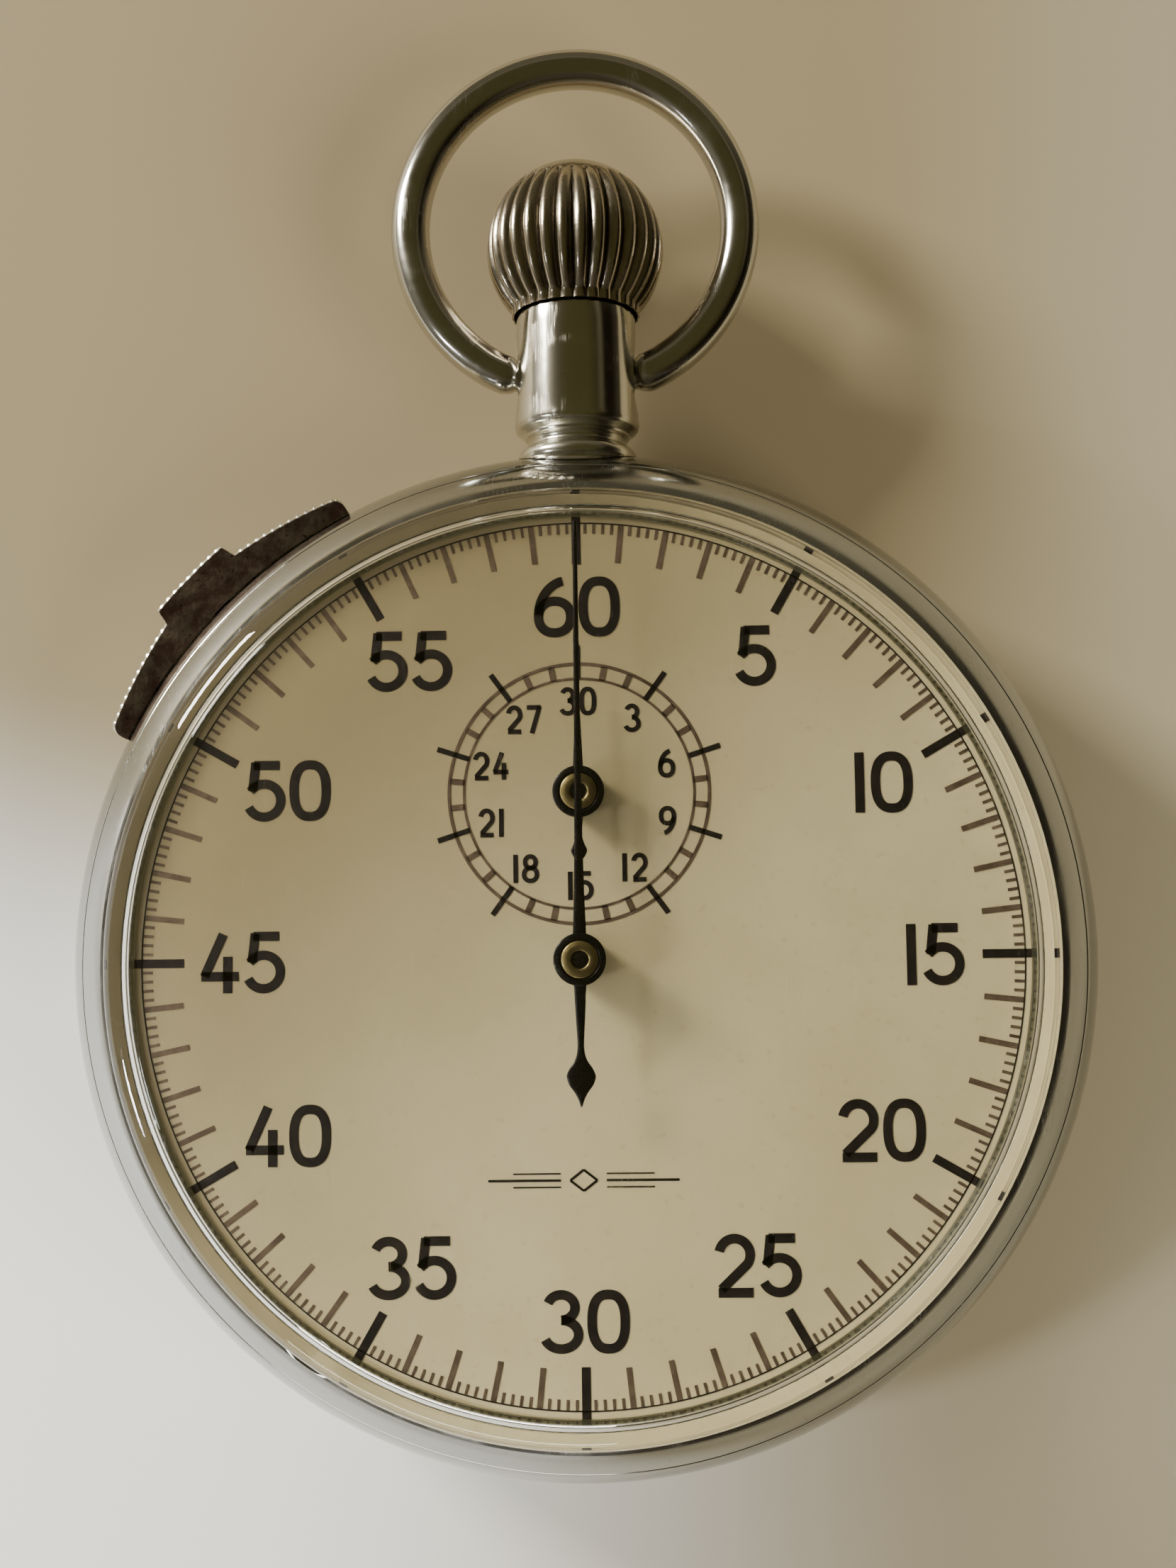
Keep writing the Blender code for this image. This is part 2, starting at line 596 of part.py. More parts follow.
def make_bridges():
    barrel = (
        [(-9.0, 16.2), (-6.6, 13.9), (-3.2, 12.2), (-2.6, 9.4), (0.2, 7.4), (2.6, 4.4), (5.4, 3.3),
         (11.6, 4.9), (14.2, 2.6), (16.6, 2.2), (18.4, 3.0)]
        + arc(19.9, 12, 76, 12)
        + [(3.2, 19.3), (3.2, 15.6), (-3.2, 15.6), (-3.2, 19.3)] + arc(19.9, 101, 117, 4))
    make_bridge("barrel_bridge", barrel,
                [pivot_hole(BARREL, 0.8, sides=14), pivot_hole(CROWN_WHEEL, 0.7, sides=12),
                 pivot_hole(CLICK, 0.45)], BRIDGE_Z)
    train = (
        [(-3.3, -2.2), (-1.6, 1.6), (0.9, 2.4), (4.2, 1.8), (8.2, 3.0), (11.4, 2.9), (13.4, 0.6)]
        + arc(17.2, -10, -38, 6)
        + [(9.0, -9.4), (5.4, -8.6), (3.6, -12.0), (1.2, -12.4), (-0.4, -11.0), (-0.7, -6.0), (-3.0, -4.8)])
    make_bridge("train_bridge", train,
                [pivot_hole(p) for p in ((0, 0), THIRD, CENTRE, ESCAPE)], BRIDGE_Z)
    cock = thick_line(
        [(-16.3, -12.7), (-15.2, -12.4), (-12.0, -11.6), (-9.2, -10.6), BALANCE, (-5.6, -9.7)],
        [2.2, 3.6, 3.4, 3.2, 3.4, 1.8])
    make_bridge("balance_cock", cock, [pivot_hole(BALANCE)], COCK_Z, foot_r=1.25)
    pallet = thick_line(
        [(-7.1, 0.0), (-6.6, -1.2), (-5.6, -3.9), PALLET, (-4.0, -7.5)],
        [1.8, 2.6, 1.6, 1.8, 1.0])
    make_bridge("pallet_bridge", pallet, [pivot_hole(PALLET, 0.22)], PALLET_BRIDGE_Z, foot_r=1.1)


def make_screw(name, centre, head_z, head_r, shank_r, length):
    """A slotted screw whose head is towards the back."""
    x, y = centre
    screw = turned(name, [(0, head_z + length), (shank_r, head_z + length), (shank_r, head_z + 0.5),
                          (head_r, head_z + 0.5), (head_r, head_z), (0, head_z)],
                   STEEL, at=(x, y, 0), steps=8)
    slot = box(f"{name}_slot", (x - head_r - 0.2, y - 0.13, head_z - 0.3), (x + head_r + 0.2, y + 0.13, head_z + 0.2))
    return cut(screw, slot)


def make_screws():
    for name, places in PILLARS.items():
        top = {"balance_cock": COCK_Z[0], "pallet_bridge": PALLET_BRIDGE_Z[0]}.get(name, BRIDGE_Z[0])
        for i, place in enumerate(places):
            make_screw(f"{name}_screw_{i + 1}", place, top - 0.55, 0.95, BRIDGE_SCREW_R - 0.05, 8.4 - top)


# ---------------------------------------------------------------- wheels

def arbor(name, centre, low, high, radius=0.45, collars=()):
    """A slim arbor with pivots at both ends, and collars as (bottom, top, radius)."""
    profile = [(0, high), (PIVOT_R, high), (PIVOT_R, high - 0.9), (radius, high - 0.95)]
    for bottom, top, collar in sorted(collars, reverse=True):
        profile += [(radius, top), (collar, top), (collar, bottom), (radius, bottom)]
    profile += [(radius, low + 0.95), (PIVOT_R, low + 0.9), (PIVOT_R, low), (0, low)]
    return turned(name, profile, at=(*centre, 0), steps=8)


def make_wheel(name, centre, teeth, module, level, pinion):
    """A brass wheel with four arms on an arbor. The pinion is (leaves, module, turn, low, high)."""
    radius = teeth * module / 2
    windows = crossings(0.30 * radius, 0.78 * radius, 4, 0.12 * radius)
    wheel = plate(name, [wheel_teeth(teeth, module)] + windows, level, BRASS, at=centre)
    leaves, leaf_module, leaf_turn, low, high = pinion
    hub = plate(f"{name}_pinion", [pinion_leaves(leaves, leaf_module, leaf_turn)], (low, high), at=centre)
    return join(wheel, arbor(f"{name}_arbor", centre, BRIDGE_Z[0] + 0.2, PLATE_Z[0] + 0.9, radius=0.36), hub)


def make_train():
    """Barrel 48, centre 8 and 45, third 6 and 48, fourth 6 and 60, escape 6 and 15.

    The centre wheel turns once an hour, the third once in 8 minutes and the fourth once a minute."""
    centre_turn = meshing_turn(BARREL, BARREL_TEETH, 0, CENTRE, CENTRE_LEAVES)
    third_turn = meshing_turn(CENTRE, CENTRE_TEETH, 0, THIRD, THIRD_LEAVES)
    fourth_turn = meshing_turn(THIRD, THIRD_TEETH, 0, (0, 0), FOURTH_LEAVES)
    escape_turn = meshing_turn((0, 0), FOURTH_TEETH, 0, ESCAPE, ESCAPE_LEAVES)
    make_wheel("centre_wheel", CENTRE, CENTRE_TEETH, CENTRE_MODULE, (5.5, 5.8),
               (CENTRE_LEAVES, BARREL_MODULE, centre_turn, 3.95, 4.55))
    make_wheel("third_wheel", THIRD, THIRD_TEETH, THIRD_MODULE, (4.75, 4.98),
               (THIRD_LEAVES, CENTRE_MODULE, third_turn, 5.35, 6.1))
    fourth = plate(
        "fourth_wheel", [wheel_teeth(FOURTH_TEETH, FOURTH_MODULE)] + crossings(1.1, 2.8, 4, 0.45),
        (5.15, 5.4), BRASS)
    pinion = plate("fourth_pinion", [pinion_leaves(FOURTH_LEAVES, THIRD_MODULE, fourth_turn)], (4.6, 5.08))
    pipe = turned(
        "fourth_arbor", [(0, 6.8), (0.42, 6.8), (0.42, 3.9), (PIVOT_R, 3.9), (PIVOT_R, 3.0), (0, 3.0)], steps=10)
    join(fourth, pinion, pipe)

    escape = plate("escape_wheel", [escape_teeth(15, 3.2)] + crossings(0.75, 2.1, 4, 0.35),
                   (5.75, 6.0), STEEL, at=ESCAPE)
    leaves = plate("escape_pinion", [pinion_leaves(ESCAPE_LEAVES, FOURTH_MODULE, escape_turn)], (5.05, 5.5), at=ESCAPE)
    join(escape, leaves, arbor("escape_arbor", ESCAPE, 3.0, 7.8, radius=0.32))


def escape_teeth(teeth, radius):
    """Raked club teeth."""
    points = []
    for i in range(teeth):
        start = 360 / teeth * i
        for r, angle in ((radius * 0.76, start), (radius, start + 7), (radius, start + 10),
                         (radius * 0.78, start + 9)):
            points.append((r * math.cos(math.radians(angle)), r * math.sin(math.radians(angle))))
    return points


def ribbon(inner, outer, turns, per_turn, width):
    """A flat spiral ribbon seen from above."""
    count = int(turns * per_turn) + 1
    line = []
    for i in range(count):
        radius = inner + (outer - inner) * i / (count - 1)
        angle = 2 * math.pi * turns * i / (count - 1)
        line.append((radius * math.cos(angle), radius * math.sin(angle)))
    return thick_line(line, [width] * count)


def make_barrel():
    drum = turned(
        "barrel",
        [(0.98, 4.35), (5.7, 4.35), (5.7, 5.08), (6.1, 5.08), (6.1, 4.0), (0.98, 4.0)][::-1],
        BRASS, at=(*BARREL, 0), steps=32, ring=True)
    teeth = plate("barrel_teeth", [wheel_teeth(BARREL_TEETH, BARREL_MODULE), circle(5.9, 32)], (4.0, 4.38), at=BARREL)
    join(drum, teeth)
    plate("barrel_cover", [circle(6.1, 32), circle(0.98, 14)], (5.13, 5.3), BRASS, at=BARREL)
    plate("mainspring", [ribbon(1.45, 5.3, 4.0, 11, 0.25)], (4.42, 5.02), BLUED, at=BARREL)
    turned("barrel_arbor",
           [(0, 7.9), (0.8, 7.9), (0.8, 5.05), (1.2, 5.05), (1.2, 4.42), (0.8, 4.42), (0.8, 2.68),
            (0.55, 2.68), (0.55, 1.9), (0, 1.9)],
           STEEL, at=(*BARREL, 0), steps=14)


def make_winding_work():
    crown_turn = 96
    ratchet_turn = meshing_turn(CROWN_WHEEL, 30, crown_turn, BARREL, 48)
    plate("crown_wheel", [wheel_teeth(30, 0.25, crown_turn), circle(0.75, 12)], RATCHET_Z, STEEL, at=CROWN_WHEEL)
    plate("ratchet_wheel", [wheel_teeth(48, 0.25, ratchet_turn), circle(0.6, 12)], RATCHET_Z, STEEL, at=BARREL)
    make_screw("crown_wheel_screw", CROWN_WHEEL, 1.4, 1.5, 0.62, 2.2)
    make_screw("ratchet_screw", BARREL, 1.35, 1.4, 0.3, 0.52)
    beak = math.radians(-13)
    tip = (BARREL[0] + 6.62 * math.cos(beak), BARREL[1] + 6.62 * math.sin(beak))
    body = thick_line(
        [(CLICK[0] + 0.4, CLICK[1] - 0.9), CLICK, (CLICK[0] + 0.15, CLICK[1] + 1.0),
         (tip[0] + 0.25, tip[1] - 0.1), tip],
        [1.2, 1.7, 1.2, 0.8, 0.35])
    click = plate("click", [about(CLICK, body)], RATCHET_Z, STEEL, at=CLICK)
    join(click, rod("click_pivot", 0.4, (*CLICK, 2.3), (*CLICK, 3.7), sides=12))
    blade = thick_line([(12.4, 1.9), (14.0, 2.1), (16.6, 2.45), (17.5, 3.6), (17.45, 5.2), (16.75, 6.55)],
                       [1.5, 0.8, 0.3, 0.22, 0.2, 0.2])
    plate("click_spring", [blade], (2.15, 2.45), STEEL)


# ---------------------------------------------------------------- escapement

def make_pallet_fork():
    """The lever: a fork to the balance, two pallet arms to the escape wheel and a short staff."""
    to_balance = math.radians(bearing(PALLET, BALANCE))
    along = (math.cos(to_balance), math.sin(to_balance))
    across = (-along[1], along[0])

    def spot(u, v):
        return (along[0] * u + across[0] * v, along[1] * u + across[1] * v)

    one_side = [(3.02, 0.42), (3.38, 0.5), (3.38, 0.85), (2.95, 0.8), (2.6, 0.35), (0.9, 0.3), (0.55, 0.75),
                (0.1, 2.2), (-0.85, 2.75), (-1.25, 2.35), (-0.55, 1.7)]
    outline = [spot(*p) for p in one_side + [(u, -v) for u, v in reversed(one_side)]]
    fork = plate("pallet_fork", [outline], (5.8, 6.05), STEEL, at=PALLET)
    staff = turned(
        "pallet_staff",
        [(0, 7.5), (0.22, 7.5), (0.22, 6.85), (0.42, 6.8), (0.42, 5.65), (0.22, 5.62), (0.22, 5.35), (0, 5.35)],
        at=(*PALLET, 0), steps=10)
    return join(fork, staff)


def make_balance():
    wheel = plate(
        "balance_wheel",
        [circle(7.0, 40)] + [window(5.95, 0.55, side) for side in (-1, 1)],
        (4.1, 5.0), BRASS, at=BALANCE)
    staff = turned(
        "balance_staff",
        [(0, 7.7), (0.24, 7.7), (0.24, 6.95), (0.5, 6.8), (0.5, 5.45), (1.35, 5.45), (1.35, 5.15),
         (0.6, 5.1), (0.6, 3.95), (0.45, 3.9), (0.45, 3.2), (0.24, 3.15), (0.24, 2.5), (0, 2.5)],
        at=(*BALANCE, 0), steps=12)
    towards = math.radians(bearing(BALANCE, PALLET))
    x, y = BALANCE[0] + 0.98 * math.cos(towards), BALANCE[1] + 0.98 * math.sin(towards)
    pin = rod("impulse_pin", 0.16, (x, y, 5.3), (x, y, 6.15), sides=8)
    join(wheel, staff, pin)
    plate("hairspring", [ribbon(0.75, 3.1, 4.0, 11, 0.1)], (3.35, 3.6), BLUED, at=BALANCE)


def window(radius, half_arm, side):
    """One of the two windows of a rim with a single straight arm across it."""
    start = math.degrees(math.asin(half_arm / radius))
    points = arc(radius, start, 180 - start, 14)
    near = math.degrees(math.asin(half_arm / 1.1))
    hub = arc(1.1, 180 - near, near, 5)
    return [(x, side * y) for x, y in points + hub]


# ---------------------------------------------------------------- under the dial

def heart(highest, lowest, count=20):
    """A heart-shaped cam: its radius falls evenly from the point to the notch on both sides.

    The notch faces +X, towards the hammer, when the hand stands at zero."""
    points = []
    for i in range(count):
        angle = 360 * i / count
        share = abs(180 - angle) / 180
        radius = highest + (lowest - highest) * share
        points.append((radius * math.cos(math.radians(angle)), radius * math.sin(math.radians(angle))))
    return points


def make_hand_work():
    module = 0.18
    drive_turn = meshing_turn((0, 0), 8, 0.0, MINUTE_DRIVE, 40)
    minute_turn = meshing_turn(MINUTE_DRIVE, 8, 0.0, (0, MINUTE_Y), 48)
    arbor_up = turned("seconds_arbor", [(0, 11.45), (0.42, 11.45), (0.42, 6.9), (0, 6.9)], STEEL, steps=12)
    pinion = plate("seconds_pinion", [pinion_leaves(8, module)], (8.25, 8.66))
    join(arbor_up, pinion)
    plate("seconds_heart_cam", [heart(1.9, 0.85), circle(0.47, 12)], (8.95, 9.3), STEEL)
    drive = plate("minute_drive_wheel", [wheel_teeth(40, module, drive_turn)] + crossings(1.2, 2.75, 4, 0.5),
                  (8.3, 8.55), BRASS, at=MINUTE_DRIVE)
    leaves = plate("drive_pinion", [pinion_leaves(8, module)], (8.45, 8.9), at=MINUTE_DRIVE)
    stub = turned("drive_stub", [(0, 8.9), (0.35, 8.9), (0.35, 7.3), (0, 7.3)], at=(*MINUTE_DRIVE, 0), steps=10)
    join(drive, leaves, stub)
    minute = plate("minute_wheel", [wheel_teeth(48, module, minute_turn)] + crossings(1.3, 3.3, 4, 0.5),
                   (8.62, 8.85), BRASS, at=(0, MINUTE_Y))
    stem = turned("minute_arbor", [(0, 10.7), (0.42, 10.7), (0.42, 7.3), (0, 7.3)], at=(0, MINUTE_Y, 0), steps=12)
    join(minute, stem)
    plate("minute_heart_cam", [heart(1.5, 0.85), circle(0.47, 12)], (8.95, 9.3), STEEL, at=(0, MINUTE_Y))


def make_hands():
    """Thin pointed hands on round bosses, both with a spade-shaped tail."""
    seconds = thick_line(
        [(0, -7.0), (0, -6.1), (0, -5.55), (0, -5.0), (0, -4.4), (0, 0), (0, 6), (0, 14), (0, 21.2)],
        [0.1, 0.8, 1.25, 0.7, 0.3, 0.75, 0.55, 0.36, 0.22])
    hand = plate("seconds_hand", [seconds], (11.75, 11.9), BLUED)
    boss = turned(
        "seconds_boss", [(0, 12.25), (0.7, 12.25), (0.95, 12.1), (1.2, 11.95), (1.2, 11.55), (0, 11.55)], steps=20)
    join(hand, boss)
    minute = thick_line(
        [(0, -3.5), (0, -3.0), (0, -2.65), (0, -2.2), (0, 0), (0, 3), (0, 5.6)],
        [0.1, 0.6, 0.85, 0.35, 0.6, 0.45, 0.2])
    hand = plate("minute_hand", [minute], (10.95, 11.07), BLUED, at=(0, MINUTE_Y))
    boss = turned("minute_boss", [(0, 11.35), (0.7, 11.35), (0.95, 11.22), (1.2, 11.1), (1.2, 10.8), (0, 10.8)],
                  at=(0, MINUTE_Y, 0), steps=20)
    join(hand, boss)


def make_reset_hammer():
    """A lever with two flat faces, one for each heart cam, and a tail under the press finger."""
    outline = [
        (8.7, -6.6), (8.9, -5.3), (8.0, -0.5), (7.6, 4.0), (6.9, 9.5), (5.6, 14.0), (4.3, 17.6),
        (3.4, 19.45), (-0.9, 19.8), (-0.9, 19.2), (0.8, 18.6), (2.4, 16.6), (4.4, 13.2), (5.0, 10.6),
        (3.35, 9.6), (3.35, 6.6), (5.2, 6.3), (5.6, 3.4), (4.6, 1.6), (2.72, 1.6), (2.72, -1.5),
        (5.2, -1.7), (6.6, -6.2), (7.3, -9.4), (8.3, -9.4)]
    hammer = plate("reset_hammer", [about(HAMMER, outline)], (8.97, 9.28), STEEL, at=HAMMER)
    post = rod("hammer_post", POST_R, (*HAMMER, 7.3), (*HAMMER, 9.1), sides=12)
    join(hammer, post)
    spring = thick_line(
        [(14.45, -3.9), (14.4, -5.4), (14.3, -7.4), (13.2, -10.2), (11.2, -11.6), (9.5, -11.2), (8.98, -9.0)],
        [1.4, 1.4, 0.5, 0.3, 0.25, 0.22, 0.2])
    blade = plate("hammer_spring", [spring], (8.95, 9.25), STEEL)
    foot = rod("hammer_spring_foot", POST_R, (*HAMMER_SPRING, 7.3), (*HAMMER_SPRING, 9.1), sides=10)
    join(blade, foot)


def make_stop_lever():
    """The brake lever: a fork around the slide's pin and a light tip beside the balance rim."""
    angle = math.radians(SLIDE_ANGLE)
    out = (math.cos(angle), math.sin(angle))
    side = (-out[1], out[0])

    def spot(u, v):
        return (out[0] * u + side[0] * v, out[1] * u + side[1] * v)

    rim_angle = math.radians(118)
    tip = (BALANCE[0] + 7.12 * math.cos(rim_angle), BALANCE[1] + 7.12 * math.sin(rim_angle))
    outline = [
        spot(13.2, -1.1), spot(18.0, -1.5), spot(21.4, -1.45), spot(21.4, -0.95), spot(19.3, -0.9),
        spot(19.3, 0.9), spot(21.4, 0.95), spot(21.4, 1.45), spot(18.0, 1.5), spot(13.2, 1.2),
        (-10.6, 6.9), (-13.4, 1.4), (tip[0] - 1.0, tip[1] + 1.0), (tip[0] - 0.55, tip[1]), tip,
        (tip[0] + 0.35, tip[1] + 0.35), (-11.5, 1.6), (-8.2, 6.7), (-7.2, 7.8)]
    lever = plate("stop_lever", [about(STOP_LEVER, outline)], (4.55, 5.05), STEEL, at=STOP_LEVER)
    post = rod("stop_lever_post", POST_R, (*STOP_LEVER, 4.3), (*STOP_LEVER, 7.8), sides=12)
    join(lever, post)
    blade = thick_line([(-17.6, 4.3), (-17.2, 5.8), (-16.6, 8.2), (-15.2, 9.3), (-13.6, 8.6), (-12.6, 6.9)],
                       [1.3, 1.4, 0.4, 0.26, 0.24, 0.2])
    spring = plate("stop_lever_spring", [blade], (4.6, 5.0), STEEL)
    foot = rod("stop_spring_foot", POST_R, (*STOP_SPRING, 4.8), (*STOP_SPRING, 7.8), sides=10)
    join(spring, foot)


make_case()
make_crystal()
make_dial()
make_movement_ring()
make_pendant()
make_bow()
make_crown()
make_stem_parts()
make_slide()
make_main_plate()
make_bridges()
make_screws()
make_train()
make_barrel()
make_winding_work()
make_pallet_fork()
make_balance()
make_hand_work()
make_hands()
make_reset_hammer()
make_stop_lever()

for part in PARTS.objects:
    part.data.shade_smooth()
    part.data.set_sharp_from_angle(angle=math.radians(35))
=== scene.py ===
# %% [markdown]
# # Finishing a mechanical stopwatch
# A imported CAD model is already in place: a round case, a pendant with a crown and a bow, a slide on
# the flank, a dial with two hands and a whole movement behind it. This lesson gives each piece that
# shows its fine surface and each piece its finish. Everything below is measured in millimetres from
# the frame, and one factor turns it into metres.

# %% Load the fixed frame
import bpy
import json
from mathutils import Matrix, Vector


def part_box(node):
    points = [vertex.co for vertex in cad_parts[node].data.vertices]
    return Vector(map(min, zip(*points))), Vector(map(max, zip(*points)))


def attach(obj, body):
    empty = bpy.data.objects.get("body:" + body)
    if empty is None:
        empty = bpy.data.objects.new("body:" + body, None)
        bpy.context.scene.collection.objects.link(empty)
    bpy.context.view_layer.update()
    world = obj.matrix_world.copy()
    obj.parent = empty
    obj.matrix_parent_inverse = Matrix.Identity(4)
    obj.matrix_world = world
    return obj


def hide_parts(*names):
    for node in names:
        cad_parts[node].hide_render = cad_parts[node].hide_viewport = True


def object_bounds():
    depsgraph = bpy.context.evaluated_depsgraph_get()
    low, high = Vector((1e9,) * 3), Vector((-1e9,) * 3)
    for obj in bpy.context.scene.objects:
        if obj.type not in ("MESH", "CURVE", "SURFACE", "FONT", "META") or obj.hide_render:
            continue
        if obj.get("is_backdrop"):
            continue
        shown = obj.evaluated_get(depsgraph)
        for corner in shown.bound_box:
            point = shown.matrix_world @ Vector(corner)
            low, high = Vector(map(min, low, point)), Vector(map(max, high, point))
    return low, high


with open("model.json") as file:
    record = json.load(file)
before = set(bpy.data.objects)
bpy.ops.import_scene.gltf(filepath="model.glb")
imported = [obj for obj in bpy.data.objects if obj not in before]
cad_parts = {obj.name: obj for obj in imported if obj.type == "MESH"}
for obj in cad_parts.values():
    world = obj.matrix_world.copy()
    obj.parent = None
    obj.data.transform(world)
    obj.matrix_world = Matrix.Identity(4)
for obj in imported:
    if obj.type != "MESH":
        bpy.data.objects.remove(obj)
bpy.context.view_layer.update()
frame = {"nodes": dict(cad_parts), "record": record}

# %% Modules and the unit
import json
import math

import bmesh
import bpy
import numpy as np
from mathutils import Matrix, Vector

MM = 0.001


def span(node):
    """A CAD node's lowest and highest corner in millimetres."""
    low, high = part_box(node)
    return np.array(low) / MM, np.array(high) / MM


# %% [markdown]
# ## Measures taken from the frame
# The case's flank is an arc in section. Its widest radius and its middle height are the band's and
# the crown's. The bezel's widest radius, at its lower edge, tells how far the arc has drawn in by
# there, and a drop and a half chord give an arc's radius: (drop^2 + chord^2) / (2 drop).

# %% Case measures
case_r = span("case_band")[1][0]
mid_z = (span("crown")[0][2] + span("crown")[1][2]) / 2
back_z = span("back_cover")[1][2]
band_low_z, band_high_z = span("case_band")[0][2], span("case_band")[1][2]
bezel_low, bezel_high = span("bezel")
drop, chord = case_r - bezel_high[0], bezel_low[2] - mid_z
flank_arc = (drop ** 2 + chord ** 2) / (2 * drop)
crystal_r, crystal_top = span("crystal")[1][0], span("crystal")[1][2]
crystal_seat = span("crystal")[0][2]
dial_z = span("dial")[1][2]
minute_y = (span("minute_wheel")[0][1] + span("minute_wheel")[1][1]) / 2


def flank_r(z):
    """The case's radius at a height: the arc's centre radius plus the chord at that height."""
    return case_r - flank_arc + np.sqrt(flank_arc ** 2 - (np.asarray(z) - mid_z) ** 2)


print(f"case radius {case_r:.2f}, flank arc {flank_arc:.2f}, middle height {mid_z:.2f}")

# %% [markdown]
# ## Surfaces from grids of points
# A turned piece, a tube or a needle is a grid of points: rows along its profile, columns round it.
# numpy works the whole grid out at once, and `surface` only says which points make a face. Rows that
# shrink to one point are welded into a pole, so every piece ends up closed.

# %% Grid to mesh
def surface(name, points, wrap_rows=False, wrap_columns=False, **layers):
    """A mesh of quads between neighbouring points of a (rows, columns, 3) grid in millimetres.

    Each extra layer is a (rows, columns) array kept as a number on every point."""
    rows, columns = points.shape[:2]
    index = np.arange(rows * columns).reshape(rows, columns)
    if wrap_rows:
        index = np.vstack([index, index[:1]])
    if wrap_columns:
        index = np.hstack([index, index[:, :1]])
    quads = np.stack([index[:-1, :-1], index[1:, :-1], index[1:, 1:], index[:-1, 1:]], axis=-1)
    mesh = bpy.data.meshes.new(name)
    mesh.vertices.add(rows * columns)
    mesh.vertices.foreach_set("co", (points * MM).astype(np.float32).ravel())
    mesh.loops.add(quads.size)
    mesh.loops.foreach_set("vertex_index", quads.ravel())
    mesh.polygons.add(quads.size // 4)
    mesh.polygons.foreach_set("loop_start", np.arange(0, quads.size, 4))
    mesh.update(calc_edges=True)
    for layer, values in layers.items():
        kept = mesh.attributes.new(layer, "FLOAT", "POINT")
        kept.data.foreach_set("value", np.broadcast_to(values, (rows, columns)).astype(np.float32).ravel())
    return link(name, mesh)


def link(name, mesh):
    piece = bpy.data.objects.new(name, mesh)
    bpy.context.scene.collection.objects.link(piece)
    return piece


def tidy(piece, sharp=32):
    """Welds poles and seams, turns every face outwards and shades all but the sharp edges smooth."""
    work = bmesh.new()
    work.from_mesh(piece.data)
    bmesh.ops.remove_doubles(work, verts=work.verts, dist=2e-7)
    bmesh.ops.dissolve_degenerate(work, edges=work.edges, dist=1e-8)
    bmesh.ops.recalc_face_normals(work, faces=work.faces)
    work.to_mesh(piece.data)
    work.free()
    piece.data.shade_smooth()
    piece.data.set_sharp_from_angle(angle=math.radians(sharp))
    return piece


# %% [markdown]
# A profile is drawn with a few corners, and metal has none that are truly sharp. `soften` puts a short
# curve at each corner: between a point before it and a point after it the curve is
# (1-t)^2 a + 2t(1-t) corner + t^2 b.

# %% Soft profiles and turned pieces
def soften(corners, radius, steps=5, ring=False):
    """Rounds the corners of an outline; the radius is shortened where an edge is too short for it."""
    corners = np.asarray(corners, float)
    before, after = np.roll(corners, 1, axis=0), np.roll(corners, -1, axis=0)
    back, ahead = before - corners, after - corners
    size_back = np.linalg.norm(back, axis=1, keepdims=True)
    size_ahead = np.linalg.norm(ahead, axis=1, keepdims=True)
    radius = np.broadcast_to(np.asarray(radius, float), len(corners))[:, None]
    reach_back = np.minimum(radius, 0.45 * size_back)
    reach_ahead = np.minimum(radius, 0.45 * size_ahead)
    start, end = corners + back / size_back * reach_back, corners + ahead / size_ahead * reach_ahead
    t = np.linspace(0, 1, steps)[None, :, None]
    curve = (1 - t) ** 2 * start[:, None] + 2 * t * (1 - t) * corners[:, None] + t ** 2 * end[:, None]
    if ring:
        points = curve.reshape(-1, 2)
    else:
        points = np.vstack([corners[:1], curve[1:-1].reshape(-1, 2), corners[-1:]])
    moved = np.linalg.norm(np.diff(points, axis=0), axis=1) > 1e-5
    return points[np.r_[True, moved]]


def ring_points(radius, height, centre=(0, 0, 0), axis="Z", sides=192):
    """Carries rows of radius and height round an axis: across is r cos, up is r sin.

    The radius may differ from column to column, as on a fluted knob."""
    angle = np.linspace(0, 2 * np.pi, sides, endpoint=False)
    radius, height = np.asarray(radius, float), np.asarray(height, float)
    radius = radius[:, None] if radius.ndim == 1 else radius
    across, up = radius * np.cos(angle), radius * np.sin(angle)
    along = np.broadcast_to(height[:, None], across.shape)
    order = {"Z": (across, up, along), "Y": (across, along, -up), "X": (along, across, up)}[axis]
    return np.stack(order, axis=-1) + np.asarray(centre, float)


def turned(name, profile, centre=(0, 0, 0), axis="Z", sides=192, ring=False, **layers):
    """A lathe piece from a (radius, height) profile; a ring's profile closes on itself."""
    profile = np.asarray(profile, float)
    points = ring_points(profile[:, 0], profile[:, 1], centre, axis, sides)
    return surface(name, points, wrap_rows=ring, wrap_columns=True, **layers)


def carve(piece, *cutters):
    """Cuts other meshes out of a piece and keeps the result as its mesh."""
    tidy(piece)
    for cutter in cutters:
        tidy(cutter)
        step = piece.modifiers.new(cutter.name, "BOOLEAN")
        step.operation, step.solver, step.object = "DIFFERENCE", "EXACT", cutter
    graph = bpy.context.evaluated_depsgraph_get()
    mesh = bpy.data.meshes.new_from_object(piece.evaluated_get(graph))
    piece.modifiers.clear()
    piece.data = mesh
    for cutter in cutters:
        bpy.data.objects.remove(cutter, do_unlink=True)
    return piece


# %% [markdown]
# ## Effects that several finishes share
# Wear, mottling and grain are shader node groups: each is built once, with named inputs, and a
# finish sets its own values. All of them read a position in millimetres, so a scale of 2 means two
# features to the millimetre.

